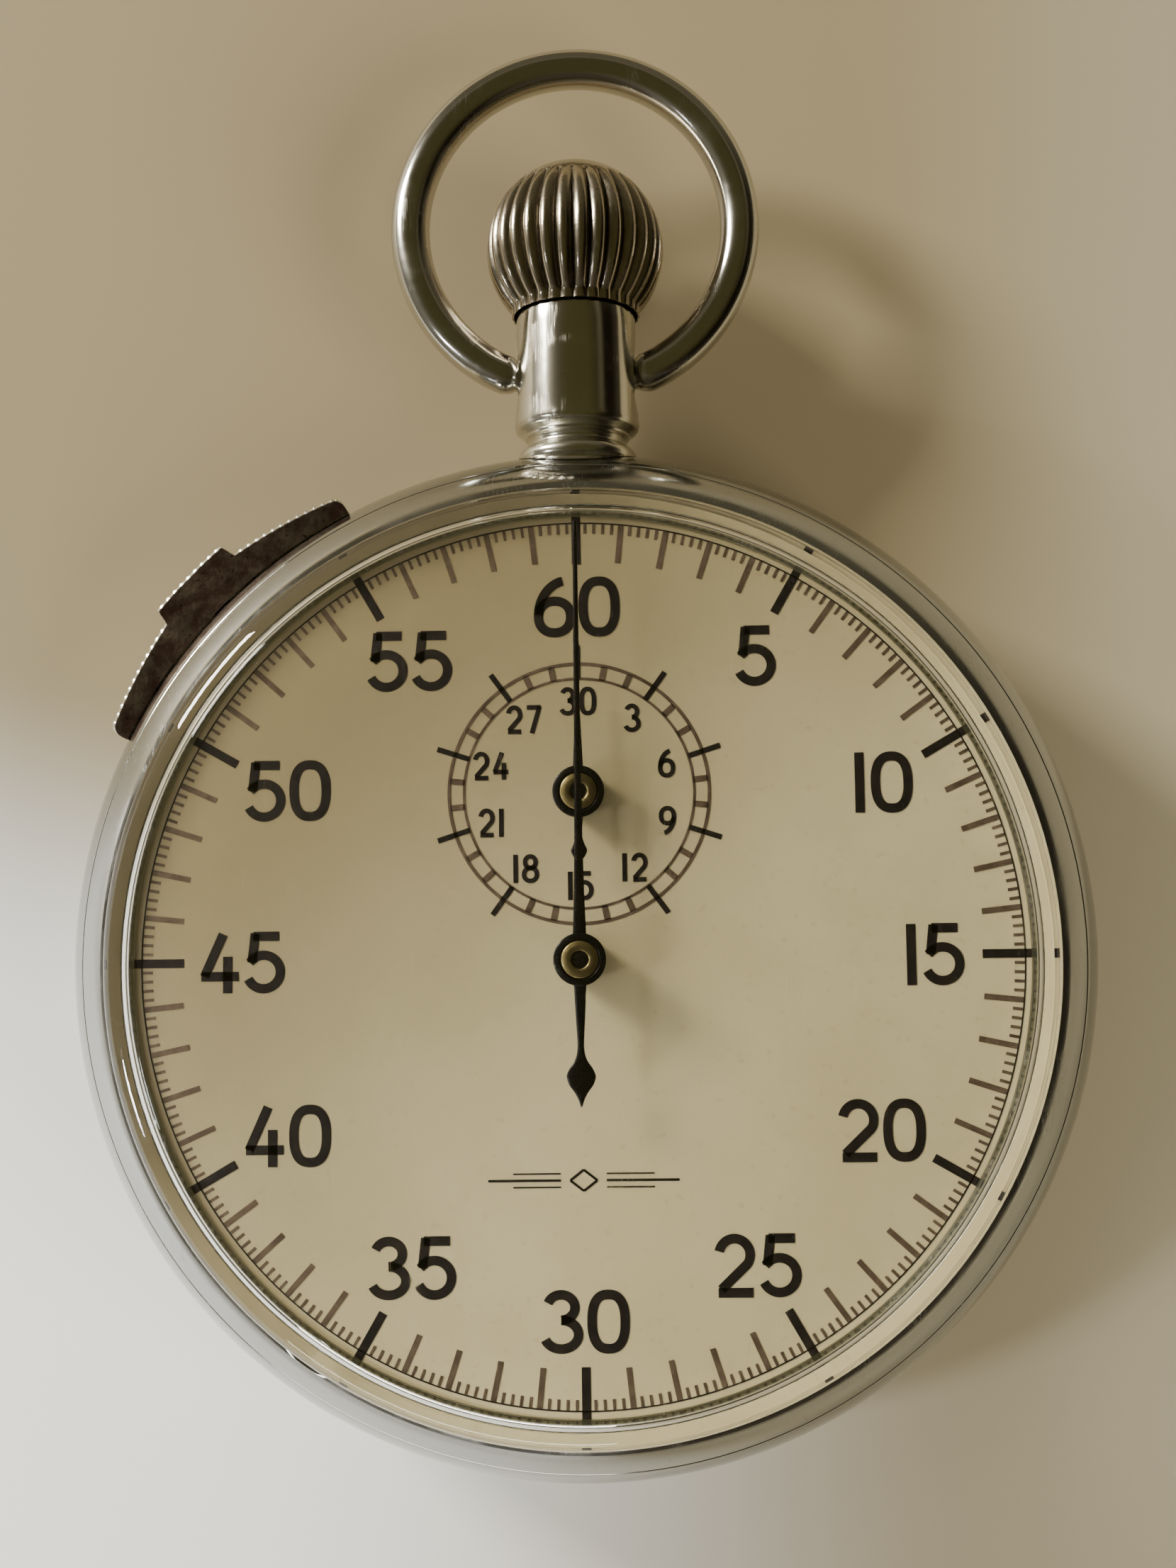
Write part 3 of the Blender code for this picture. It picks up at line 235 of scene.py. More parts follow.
# %% Building a node group
def new_group(name, inputs, outputs):
    """A shader node group with number, colour or vector sockets. Returns it with its two end nodes."""
    kinds = {"f": "NodeSocketFloat", "c": "NodeSocketColor", "v": "NodeSocketVector"}
    group = bpy.data.node_groups.new(name, "ShaderNodeTree")
    for label, kind, value in inputs:
        socket = group.interface.new_socket(name=label, in_out="INPUT", socket_type=kinds[kind])
        socket.default_value = value
    for label, kind in outputs:
        group.interface.new_socket(name=label, in_out="OUTPUT", socket_type=kinds[kind])
    return group, group.nodes.new("NodeGroupInput"), group.nodes.new("NodeGroupOutput")


def wire(tree, node_type, settings=None, **sockets):
    """Adds a node, sets its properties, and sets or links its inputs by name or number."""
    node = tree.nodes.new(node_type)
    for key, value in (settings or {}).items():
        setattr(node, key, value)
    for key, value in sockets.items():
        numbered = key[0] == "i" and key[1:].isdigit()
        socket = node.inputs[int(key[1:]) if numbered else key.replace("_", " ")]
        if isinstance(value, bpy.types.NodeSocket):
            tree.links.new(value, socket)
        else:
            socket.default_value = value
    return node


def maths(tree, operation, first, second=0.0, clamp=False):
    """One Math node's result; each of its two inputs is a number or a socket."""
    settings = {"operation": operation, "use_clamp": clamp}
    return wire(tree, "ShaderNodeMath", settings, i0=first, i1=second).outputs[0]


def between(tree, value, low, high, to_low=0.0, to_high=1.0):
    """Maps low..high smoothly to to_low..to_high and holds the ends."""
    return wire(tree, "ShaderNodeMapRange", {"interpolation_type": "SMOOTHSTEP"}, Value=value,
                From_Min=low, From_Max=high, To_Min=to_low, To_Max=to_high).outputs[0]


def noise(tree, vector, scale, detail=3.0, rough=0.55, twist=0.0):
    return wire(tree, "ShaderNodeTexNoise", Vector=vector, Scale=scale, Detail=detail, Roughness=rough,
                Distortion=twist).outputs[0]


# %% [markdown]
# **Handling wear.** Plated metal that has been carried for years is bright, but it has hairline
# scratches in every direction and patches dulled by fingers. A scratch is the thin line where a noise
# drawn out in one direction passes its middle value; three such noises lie across each other.

# %% Handling wear
wear, wear_in, wear_out = new_group(
    "Handling wear",
    [("Position", "v", (0, 0, 0)), ("Dullness", "f", 0.12), ("Smudge", "f", 0.08), ("Scratches", "f", 0.5)],
    [("Roughness", "f"), ("Height", "f"), ("Mask", "f")])
lines = None
for turn in (0.35, 1.45, 2.5):
    laid = wire(wear, "ShaderNodeMapping", Vector=wear_in.outputs["Position"],
                Rotation=(0.3 * turn, 0.2, turn), Scale=(2.6, 0.035, 0.5))
    field = noise(wear, laid.outputs[0], 1.6, 2.0)
    off = maths(wear, "ABSOLUTE", maths(wear, "SUBTRACT", field, 0.5))
    line = between(wear, off, 0.0, 0.006, 1.0, 0.0)
    lines = line if lines is None else maths(wear, "MAXIMUM", lines, line)
broken = between(wear, noise(wear, wear_in.outputs["Position"], 0.45, 2.0), 0.5, 0.66)
lines = maths(wear, "MULTIPLY", maths(wear, "MULTIPLY", lines, broken), wear_in.outputs["Scratches"])
fingers = between(wear, noise(wear, wear_in.outputs["Position"], 0.16, 4.0, 0.6, 0.6), 0.42, 0.72)
dulled = maths(wear, "MULTIPLY_ADD", fingers, wear_in.outputs["Smudge"])
wear.links.new(wear_in.outputs["Dullness"], dulled.node.inputs[2])
rough = maths(wear, "MULTIPLY_ADD", lines, 0.22, clamp=True)
wear.links.new(dulled, rough.node.inputs[2])
waves = maths(wear, "MULTIPLY", noise(wear, wear_in.outputs["Position"], 0.5, 2.0), 0.55)
wear.links.new(rough, wear_out.inputs["Roughness"])
carved = maths(wear, "MULTIPLY", lines, 0.06)
wear.links.new(maths(wear, "SUBTRACT", waves, carved), wear_out.inputs["Height"])
wear.links.new(lines, wear_out.inputs["Mask"])

# %% [markdown]
# **Mottling** is uneven tone: two noises of different size, one for broad patches and one for specks.
# **Grain** is the same noise drawn out along one direction, as a file or a brush leaves it.

# %% Mottling and grain
mottle, mottle_in, mottle_out = new_group(
    "Mottling",
    [("Position", "v", (0, 0, 0)), ("Patch Scale", "f", 0.3), ("Speck Scale", "f", 6.0),
     ("Specks", "f", 0.3)],
    [("Patches", "f"), ("Spots", "f")])
spot = mottle_in.outputs["Position"]
patches = between(mottle, noise(mottle, spot, mottle_in.outputs["Patch Scale"], 5.0, 0.6), 0.3, 0.7)
specks = between(mottle, noise(mottle, spot, mottle_in.outputs["Speck Scale"], 2.0), 0.62, 0.74)
mottle.links.new(patches, mottle_out.inputs["Patches"])
mottle.links.new(maths(mottle, "MULTIPLY", specks, mottle_in.outputs["Specks"]), mottle_out.inputs["Spots"])

grain, grain_in, grain_out = new_group(
    "Grain",
    [("Position", "v", (0, 0, 0)), ("Stretch", "v", (12.0, 0.3, 2.0)), ("Dullness", "f", 0.3),
     ("Spread", "f", 0.15)],
    [("Roughness", "f"), ("Height", "f")])
drawn = wire(grain, "ShaderNodeVectorMath", {"operation": "MULTIPLY"}, i0=grain_in.outputs["Position"],
             i1=grain_in.outputs["Stretch"])
streaks = noise(grain, drawn.outputs[0], 1.0, 4.0, 0.65)
spread = maths(grain, "MULTIPLY_ADD", streaks, grain_in.outputs["Spread"])
grain.links.new(grain_in.outputs["Dullness"], spread.node.inputs[2])
grain.links.new(spread, grain_out.inputs["Roughness"])
grain.links.new(streaks, grain_out.inputs["Height"])
print("effects:", [g.name for g in bpy.data.node_groups])


# %% [markdown]
# ## Finishes
# Each finish is one material with a Principled BSDF of its own. The shared effects only feed its
# colour, roughness and bump.

# %% A material and its shader
def finish(name, colour, metallic=1.0, **sockets):
    """A new material: returns it with its tree, its shader and the position in millimetres."""
    made = bpy.data.materials.new(name)
    made.use_nodes = True
    tree = made.node_tree
    shader = tree.nodes["Principled BSDF"]
    shader.inputs["Base Color"].default_value = (*colour, 1.0)
    shader.inputs["Metallic"].default_value = metallic
    for key, value in sockets.items():
        shader.inputs[key.replace("_", " ")].default_value = value
    place = wire(tree, "ShaderNodeTexCoord").outputs["Object"]
    place = wire(tree, "ShaderNodeVectorMath", {"operation": "SCALE"}, Vector=place, Scale=1 / MM).outputs[0]
    return made, tree, shader, place


def use(tree, group, **sockets):
    return wire(tree, "ShaderNodeGroup", {"node_tree": group}, **sockets)


def bump(tree, shader, height, strength, depth=0.00002):
    made = wire(tree, "ShaderNodeBump", Height=height, Strength=strength, Distance=depth)
    tree.links.new(made.outputs[0], shader.inputs["Normal"])
    return made


def blend_colour(tree, factor, first, second):
    mixed = wire(tree, "ShaderNodeMix", {"data_type": "RGBA"})
    for socket, value in ((mixed.inputs[0], factor), (mixed.inputs[6], first), (mixed.inputs[7], second)):
        if isinstance(value, bpy.types.NodeSocket):
            tree.links.new(value, socket)
        else:
            socket.default_value = (*value, 1.0) if isinstance(value, tuple) else value
    return mixed.outputs[2]


def attribute(tree, name):
    return wire(tree, "ShaderNodeAttribute", {"attribute_name": name}).outputs["Fac"]


# %% Chrome plate
def chrome_plate(name, colour, dullness, smudge, scratches, ripple):
    made, tree, shader, place = finish(name, colour)
    worn = use(tree, wear, Position=place, Dullness=dullness, Smudge=smudge, Scratches=scratches)
    tree.links.new(worn.outputs["Roughness"], shader.inputs["Roughness"])
    tone = use(tree, mottle, Position=place, Patch_Scale=0.12, Speck_Scale=3.0, Specks=0.5)
    darker = tuple(0.72 * c for c in colour)
    tree.links.new(blend_colour(tree, maths(tree, "MULTIPLY", tone.outputs["Spots"], 0.8), colour, darker),
                   shader.inputs["Base Color"])
    bump(tree, shader, worn.outputs["Height"], ripple)
    return made


chrome = chrome_plate("chrome", (0.60, 0.59, 0.54), 0.12, 0.12, 0.8, 0.6)
case_chrome = chrome_plate("case chrome", (0.42, 0.43, 0.42), 0.10, 0.12, 1.0, 0.3)
neck_chrome = chrome_plate("neck chrome", (0.66, 0.64, 0.56), 0.13, 0.18, 1.0, 0.8)

# %% [markdown]
# **Worn nickel on the crown.** Fingers keep the ridges bright, while grease and dust darken the
# grooves. The crown's mesh carries that as a number called `low`, from 0 on a ridge to 1 in a groove.

# %% Worn nickel and the slide's steel
worn_nickel, tree, shader, place = finish("worn nickel", (0.60, 0.55, 0.47))
low = attribute(tree, "low")
tone = use(tree, mottle, Position=place, Patch_Scale=0.7, Speck_Scale=5.0, Specks=0.8)
dirty = maths(tree, "MULTIPLY", low, between(tree, tone.outputs["Patches"], 0.0, 1.0, 0.55, 1.0))
dirty = maths(tree, "MAXIMUM", dirty, maths(tree, "MULTIPLY", tone.outputs["Spots"], 0.5))
tree.links.new(blend_colour(tree, dirty, (0.50, 0.45, 0.36), (0.06, 0.042, 0.026)),
               shader.inputs["Base Color"])
worn = use(tree, wear, Position=place, Dullness=0.2, Smudge=0.2, Scratches=1.0)
tree.links.new(maths(tree, "MAXIMUM", worn.outputs["Roughness"], maths(tree, "MULTIPLY", dirty, 0.55)),
               shader.inputs["Roughness"])
bump(tree, shader, maths(tree, "ADD", worn.outputs["Height"], tone.outputs["Patches"]), 0.5)

slide_steel, tree, shader, place = finish("slide steel", (0.30, 0.26, 0.21))
face = attribute(tree, "face")
tone = use(tree, mottle, Position=place, Patch_Scale=1.1, Speck_Scale=4.0, Specks=1.0)
stain = blend_colour(tree, tone.outputs["Patches"], (0.040, 0.022, 0.016), (0.085, 0.068, 0.048))
stain = blend_colour(tree, tone.outputs["Spots"], stain, (0.02, 0.012, 0.009))
tree.links.new(blend_colour(tree, face, (0.80, 0.77, 0.66), stain), shader.inputs["Base Color"])
worn = use(tree, wear, Position=place, Dullness=0.26, Smudge=0.2, Scratches=1.0)
tree.links.new(maths(tree, "MULTIPLY_ADD", face, 0.16), shader.inputs["Roughness"])
tree.links.new(worn.outputs["Roughness"], shader.inputs["Roughness"].links[0].from_node.inputs[2])
bump(tree, shader, maths(tree, "ADD", worn.outputs["Height"], tone.outputs["Patches"]), 0.6)

# %% [markdown]
# ** Acrylic.** The crystal is one clear moulding. Rays from the lamps would be stopped by glass, so a
# Light Path switch lets them through, a little dimmed, and the dial below stays lit.

# %% Crystal
acrylic, tree, shader, place = finish("acrylic", (0.97, 0.975, 0.94), 0.0, Roughness=0.015, IOR=1.49,
                                      Transmission_Weight=1.0)
worn = use(tree, wear, Position=place, Dullness=0.012, Smudge=0.02, Scratches=0.9)
tree.links.new(worn.outputs["Roughness"], shader.inputs["Roughness"])
bump(tree, shader, worn.outputs["Height"], 0.03)
clear = wire(tree, "ShaderNodeBsdfTransparent", Color=(0.95, 0.95, 0.93, 1.0))
lamp_ray = wire(tree, "ShaderNodeLightPath").outputs["Is Shadow Ray"]
either = wire(tree, "ShaderNodeMixShader", i0=lamp_ray, i1=shader.outputs[0], i2=clear.outputs[0])
tree.links.new(either.outputs[0], tree.nodes["Material Output"].inputs["Surface"])

# %% [markdown]
# ** Dial paint** is a cream lacquer that has yellowed unevenly in patches, with a faint grain and a few
# specks. It is darker towards the upper left with painted shade, the shadow of the bezel and the crystal's
# shoulder. The painted shade runs along one direction: it is the dot product of the place and a unit
# vector. The **print** is matt black ink, thinner in places, which shows as a browner black.

# %% Dial paint and printing ink
paint, tree, shader, place = finish("cream lacquer", (0.42, 0.345, 0.19), 0.0, Roughness=0.42,
                                    Specular_IOR_Level=0.3)
tone = use(tree, mottle, Position=place, Patch_Scale=0.07, Speck_Scale=2.4, Specks=0.35)
yellowed_and_shaded = blend_colour(tree, tone.outputs["Patches"], (0.42, 0.36, 0.22), (0.365, 0.305, 0.175))
# Painted shade: the lacquer gets darker towards the upper left, where the bezel and the crystal's shoulder
# shade the dial.
across = wire(tree, "ShaderNodeVectorMath", {"operation": "DOT_PRODUCT"}, i0=place, i1=(-0.8, 0.6, 0.0))
yellowed_and_shaded = blend_colour(tree, between(tree, across.outputs["Value"], -10.0, 21.0), yellowed_and_shaded, (0.165, 0.130, 0.068))
spots = maths(tree, "MULTIPLY", tone.outputs["Spots"], 0.6)
tree.links.new(blend_colour(tree, spots, yellowed_and_shaded, (0.20, 0.145, 0.075)), shader.inputs["Base Color"])
skin = use(tree, grain, Position=place, Stretch=(3.0, 3.0, 3.0), Dullness=0.36, Spread=0.14)
tree.links.new(skin.outputs["Roughness"], shader.inputs["Roughness"])
bump(tree, shader, skin.outputs["Height"], 0.12)


def print_ink(name, dense, sparse):
    """A matt ink that varies between a dense and a sparse tone from patch to patch."""
    made, tree, shader, place = finish(name, dense, 0.0, Specular_IOR_Level=0.12)
    tone = use(tree, mottle, Position=place, Patch_Scale=1.4, Speck_Scale=9.0, Specks=1.0)
    thin = maths(tree, "MULTIPLY", tone.outputs["Patches"], 0.6)
    tree.links.new(blend_colour(tree, thin, dense, sparse), shader.inputs["Base Color"])
    skin = use(tree, grain, Position=place, Stretch=(9.0, 9.0, 9.0), Dullness=0.42, Spread=0.2)
    tree.links.new(skin.outputs["Roughness"], shader.inputs["Roughness"])
    bump(tree, shader, skin.outputs["Height"], 0.2)
    return made


ink = print_ink("printing ink", (0.004, 0.003, 0.003), (0.014, 0.010, 0.008))
thin_ink = print_ink("thin ink", (0.045, 0.030, 0.020), (0.10, 0.072, 0.048))


# %% [markdown]
# **Movement metals.** Brass plates and wheels are grained, bridges are nickel plated, levers and screws
# are steel, and springs are tempered to a dark blue.

# %% Grained metals
def grained(name, colour, tarnish, stretch, dullness, relief):
    made, tree, shader, place = finish(name, colour)
    lines = use(tree, grain, Position=place, Stretch=stretch, Dullness=dullness, Spread=0.18)
    tree.links.new(lines.outputs["Roughness"], shader.inputs["Roughness"])
    tone = use(tree, mottle, Position=place, Patch_Scale=0.35, Speck_Scale=3.5, Specks=0.7)
    uneven = blend_colour(tree, maths(tree, "MULTIPLY", tone.outputs["Patches"], 0.6), colour, tarnish)
    tree.links.new(blend_colour(tree, tone.outputs["Spots"], uneven, tarnish), shader.inputs["Base Color"])
    bump(tree, shader, lines.outputs["Height"], relief)
    return made


brass = grained("grained brass", (0.80, 0.61, 0.31), (0.50, 0.33, 0.14), (14.0, 0.4, 3.0), 0.22, 0.25)
nickel = grained("nickel plate", (0.70, 0.67, 0.61), (0.48, 0.44, 0.38), (0.5, 10.0, 3.0), 0.2, 0.3)
steel = grained("polished steel", (0.60, 0.60, 0.61), (0.36, 0.34, 0.32), (18.0, 0.5, 4.0), 0.16, 0.15)
blued = grained("blued steel", (0.045, 0.065, 0.16), (0.02, 0.02, 0.04), (12.0, 12.0, 4.0), 0.22, 0.1)
black_steel = grained("blackened steel", (0.018, 0.018, 0.02), (0.035, 0.03, 0.026), (10.0, 10.0, 10.0),
                      0.2, 0.1)
old_brass = grained("old brass", (0.20, 0.16, 0.07), (0.07, 0.05, 0.025), (7.0, 7.0, 7.0), 0.26, 0.5)
print("finishes:", [m.name for m in bpy.data.materials])


# %% [markdown]
# ## Which pieces go where
# `settle` ends each new piece: it is tidied, takes its finish, rides on its body and hides the CAD node it
# replaces.

# %% Settling a piece
def settle(piece, material, body, replaces=None, sharp=32):
    tidy(piece, sharp)
    piece.data.materials.clear()
    piece.data.materials.append(material)
    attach(piece, body)
    if replaces:
        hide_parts(replaces)
    print(f"{piece.name}: {len(piece.data.polygons)} faces")
    return piece


# %% [markdown]
# ## The case
# Back cover, band and bezel are turned on a lathe, so each is a profile carried round the axis. The
# bezel's inner edge is rolled over towards the crystal, and a lift notch for a thumbnail breaks it.
# The crystal stands on a thin lacquered ring, whose cream edge shows through its wall.

# %% Back cover and band
split = 0.05             # the hairline between two case pieces
seam_z, band_top = band_low_z - split, bezel_low[2] - split


def flank(top, bottom, count=14):
    """Points down the flank's arc between two heights."""
    z = np.linspace(top, bottom, count)
    return np.stack([flank_r(z), z], axis=1)


inner_r, spigot_r, wall_r = 21.6, 22.3, 22.6
back_profile = np.vstack([
    [(0, 0.9), (inner_r, 0.9), (inner_r, back_z), (spigot_r, back_z), (spigot_r, seam_z)],
    flank(seam_z, 0.55),
    [(22.2, 0.12), (20.5, 0.0), (18.9, 0.0), (18.8, 0.06), (18.5, 0.06), (18.4, 0.0), (0, 0.0)],
])
back_rounding = np.full(len(back_profile), 0.02)      # one radius for each corner above
back_rounding[[1, 2, 3]] = 0.1
back_rounding[5] = 0.18
back_rounding[-7:] = [0.6, 0.5, 0.05, 0.05, 0.05, 0.05, 0.0]
back = turned("back_shell", soften(back_profile, back_rounding), sides=224)
settle(back, case_chrome, "case", replaces="back_cover")

stem_hole_r = 2.75
band_profile = np.vstack([
    flank(band_top, band_low_z, 22),
    [(wall_r, band_low_z), (wall_r, band_high_z), (23.3, band_high_z), (23.3, band_top)],
])
band_rounding = np.full(len(band_profile), 0.02)
band_rounding[[0, 21]] = 0.16
band = turned("middle_band", soften(band_profile, band_rounding, ring=True), sides=224, ring=True)
stem_hole = turned("stem_hole", [(0, 20), (stem_hole_r, 20), (stem_hole_r, 28), (0, 28)], (0, 0, mid_z),
                   "Y", 40)

# %% [markdown]
# The slide's pin needs a slot through the band. The slot is a block as long as the pin's travel: four
# corners measured along the flank and up, carried from inside the wall to outside it along `out`.

# %% Slot for the slide's pin
slide_angle = math.radians(135.5)
out = np.array([math.cos(slide_angle), math.sin(slide_angle), 0.0])
side = np.array([-out[1], out[0], 0.0])
pin_z, pin_r = 4.9, 0.6
upward = np.array([0, 0, 1.0])
slot_low, slot_high, slot_half = -3.05, 0.85, 0.75
corners = np.array([(slot_low, -slot_half), (slot_high, -slot_half), (slot_high, slot_half),
                    (slot_low, slot_half)])
middle = corners.mean(0)
rows = []
for reach, size in ((21.0, 0.0), (21.0, 1.0), (28.0, 1.0), (28.0, 0.0)):
    section = middle + (corners - middle) * size
    rows.append(out * reach + side * section[:, :1] + upward * (pin_z + section[:, 1:]))
slot = surface("slide_slot", np.array(rows), wrap_columns=True)
carve(band, stem_hole, slot)
settle(band, case_chrome, "case", replaces="case_band")

# %% Bezel with its lift notch
top_z, ledge_z = bezel_high[2], dial_z + 0.07
bezel_profile = np.vstack([
    [(22.85, 10.2), (22.79, top_z), (22.95, top_z)], flank(top_z - 0.12, bezel_low[2], 16),
    [(23.38, bezel_low[2]), (23.38, 9.8), (22.55, 9.8), (22.55, ledge_z), (22.25, ledge_z), (22.25, 10.2)],
])
bezel_rounding = np.full(len(bezel_profile), 0.03)
bezel_rounding[[1, 2, 3]] = (0.22, 0.2, 0.12)
bezel_rounding[18] = 0.1
bezel_profile = soften(bezel_profile, bezel_rounding, ring=True)
sides = 360
grid = ring_points(bezel_profile[:, 0], bezel_profile[:, 1], sides=sides)
turn = np.linspace(0, 2 * np.pi, sides, endpoint=False)


def notch(angle, half_width):
    """A bell over the notch: (1 + cos) / 2 inside its half width in degrees, 0 outside."""
    off = (np.degrees(turn) - angle + 180) % 360 - 180
    return np.where(np.abs(off) < half_width, (1 + np.cos(np.pi * off / half_width)) / 2, 0.0)


near_top = np.clip((bezel_profile[:, 1] - 10.45) / 0.4, 0, 1)[:, None]
near_edge = np.clip((23.35 - bezel_profile[:, 0]) / 0.3, 0, 1)[:, None]
depth = near_top * near_edge * (notch(-125, 2.2) + 0.35 * notch(174, 0.9)) * 0.34
grid[..., 2] -= depth
bezel = surface("rolled_bezel", grid, wrap_rows=True, wrap_columns=True)
settle(bezel, case_chrome, "case", replaces="bezel")

# %% Seat ring under the crystal
seat_profile = soften([(21.95, 10.205), (22.74, 10.205), (22.74, 10.24), (21.95, 10.24)], 0.01, ring=True)
settle(turned("crystal_seat_ring", seat_profile, sides=224, ring=True), paint, "case")

# %% [markdown]
# ## The crystal
# The acrylic is moulded as a low dome with an upright wall. Outside, the dome is the parabola
# z = top - rise (r / reach)^2, then nearly a quarter circle over the shoulder; the inside repeats that
# one wall thickness lower, and the bent light in the shoulder repeats the dial's edge.

# %% Crystal
def dome(radius, shoulder, top, rise, count=40):
    """(radius, height) points from the pole over the shoulder to the wall."""
    reach = radius - shoulder
    r = np.linspace(0, 1, count) ** 0.8 * reach
    over = np.radians(np.linspace(86, 0, 14))
    falling = top - rise - shoulder + shoulder * np.sin(over)
    round_off = np.stack([reach + shoulder * np.cos(over), falling], axis=1)
    return np.vstack([np.stack([r, top - rise * (r / reach) ** 2], axis=1)[:-1], round_off])


wall = 0.9
outer = dome(crystal_r, 1.3, crystal_top, 0.75)
inner = dome(crystal_r - wall, 0.9, crystal_top - wall, 0.7)
foot = [(crystal_r, crystal_seat), (crystal_r - wall, crystal_seat)]
crystal_profile = np.vstack([outer, foot, inner[::-1]])
crystal = turned("crystal_dome", crystal_profile, sides=256)
settle(crystal, acrylic, "case", replaces="crystal", sharp=50)

# %% [markdown]
# ## Pendant, bow and crown
# The pendant is turned with a chamfer, a waist and a foot bead, and both its sides are filed flat
# where the bow turns. A flat is a limit on x: beyond it the surface is moved in to the plane. The foot
# sits on the flank, so none of it comes below y = sqrt(flank radius^2 - x^2).

# %% Pendant
neck_top = span("pendant_tube")[1][1]
neck_corners = np.array([      # radius, height along the pendant, rounding of the corner
    (2.2, neck_top, 0.02), (2.95, neck_top, 0.08), (3.1, neck_top - 0.2, 0.1), (3.14, neck_top - 0.9, 0.2),
    (3.26, 27.5, 0.1), (3.16, 27.28, 0.08), (2.76, 27.02, 0.05), (2.72, 26.88, 0.05), (2.56, 26.82, 0.05),
    (2.46, 26.6, 0.1), (2.5, 26.42, 0.08), (2.95, 26.2, 0.15), (3.14, 25.9, 0.2), (3.12, 25.6, 0.2),
    (2.92, 25.36, 0.08), (3.02, 25.1, 0.1), (3.3, 24.5, 0.2), (2.68, 24.2, 0.05), (2.68, 23.0, 0.05),
    (2.2, 23.0, 0.05),
])
neck_profile = soften(neck_corners[:, :2], neck_corners[:, 2], ring=True)
# The long wall gets rows of its own between its two ends, so that the flats have points to move.
first = np.argmax(neck_profile[:, 1] < neck_top - 1.2)
before, after = neck_profile[first - 1], neck_profile[first]
extra = before + (after - before) * np.linspace(0, 1, 34)[1:-1, None]
neck_profile = np.vstack([neck_profile[:first], extra, neck_profile[first:]])
grid = ring_points(neck_profile[:, 0], neck_profile[:, 1], (0, 0, mid_z), "Y", 160)
pivot_y, flat_x, bow_hole_r = 30.2, 3.02, 0.82
filed = np.exp(-((grid[..., 1] - pivot_y) / 1.7) ** 4) * (neck_profile[:, 0] > 2.3)[:, None]
over = np.maximum(np.abs(grid[..., 0]) - flat_x, 0)
grid[..., 0] -= np.sign(grid[..., 0]) * over * filed
seat = np.sqrt(flank_r(grid[..., 2]) ** 2 - grid[..., 0] ** 2) + 0.03
outside = (neck_profile[:, 0] > 2.7)[:, None]
grid[..., 1] = np.where(outside, np.maximum(grid[..., 1], seat), grid[..., 1])
neck = surface("pendant_neck", grid, wrap_rows=True, wrap_columns=True)
bow_hole = turned("bow_hole", [(0, -5), (bow_hole_r, -5), (bow_hole_r, 5), (0, 5)], (0, pivot_y, mid_z),
                  "X", 32)
carve(neck, bow_hole)
settle(neck, neck_chrome, "case", replaces="pendant_tube")

# %% [markdown]
# The bow is a round wire bent to most of a circle, whose two ends turn in and enter holes in the neck.
# Its centre line is an arc with a bend at each end, and a ring of points square to that line is
# carried along it. The wire is filed thinner where it enters the neck.

# %% Bow
bow_high = span("bow_ring")[1]
wire_r, end_r = 1.02, 0.7
bow_r = bow_high[0] - wire_r
bow_y = bow_high[1] - wire_r - bow_r
lift = 0.75
arc_start = math.asin((pivot_y - bow_y + lift) / bow_r)
a = np.linspace(arc_start, np.pi - arc_start, 240)
path = np.stack([bow_r * np.cos(a), bow_y + bow_r * np.sin(a)], axis=1)
knee = path[0, 0] - lift * math.tan(-arc_start)
t = np.linspace(0, 1, 22)[:, None]
right_end = (1 - t) ** 2 * (2.35, pivot_y) + 2 * t * (1 - t) * (knee, pivot_y) + t * t * path[0]
path = np.vstack([right_end[:-1], path, (right_end[:-1] * (-1, 1))[::-1]])
run = np.gradient(path, axis=0)
run /= np.linalg.norm(run, axis=1, keepdims=True)
square = np.stack([run[:, 1], -run[:, 0]], axis=1)
inward = np.clip((np.abs(path[:, 0]) - 3.1) / 0.55, 0, 1) + (path[:, 1] > pivot_y + 1)
thick = end_r + (wire_r - end_r) * np.clip(inward, 0, 1) ** 0.6
t = np.linspace(0, 2 * np.pi, 40, endpoint=False)
grid = np.concatenate([
    path[:, None, :] + thick[:, None, None] * np.cos(t)[None, :, None] * square[:, None, :],
    mid_z + thick[:, None, None] * np.sin(t)[None, :, None],
], axis=-1)
ends = [grid[i:i + 1].mean(1, keepdims=True).repeat(len(t), 1) for i in (0, len(grid) - 1)]
bow = surface("bow_wire", np.concatenate([ends[0], grid, ends[1]]), wrap_columns=True)
settle(bow, chrome, "bow", replaces="bow_ring", sharp=50)

# %% [markdown]
# The crown is a ball with rounded flutes. At latitude p its radius is R, and a flute takes away
# depth (1 - |cos(n t / 2)|^0.8) at angle t, which is a round ridge between sharp valleys. The depth
# fades out towards the top and towards the thin rim, which reaches down over the neck a little. The
# same number is kept as `low` for the finish.

# %% Crown
crown_low, crown_high = span("crown")
ball_r = (crown_high[0] - crown_low[0]) / 2
crown_y, rim_y = crown_high[1] - ball_r, crown_low[1]
latitude = np.linspace(np.pi / 2, math.asin((rim_y - crown_y) / ball_r), 72)
flutes, flute_depth, sides = 30, 0.34, 480
skirt, skirt_r, root_r = 0.28, 3.36, 3.262      # the rim's reach over the neck, and two radii at the rim
bore_r, stem_r = 3.24, 0.92
angle = np.linspace(0, 2 * np.pi, sides, endpoint=False)
ridge = 1 - np.abs(np.cos(flutes * angle / 2)) ** 0.8
ball, heights = ball_r * np.cos(latitude), ball_r * np.sin(latitude)
ball[-1], heights[-1] = skirt_r, heights[-1] - skirt
fade = np.clip((math.radians(61) - latitude) / math.radians(34), 0, 1) ** 1.3
depth = np.minimum(flute_depth * fade, np.maximum(ball - root_r, 0))
radius = np.maximum(ball[:, None] - depth[:, None] * ridge[None, :], 0)
groove = (depth[:, None] / flute_depth) * ridge[None, :]
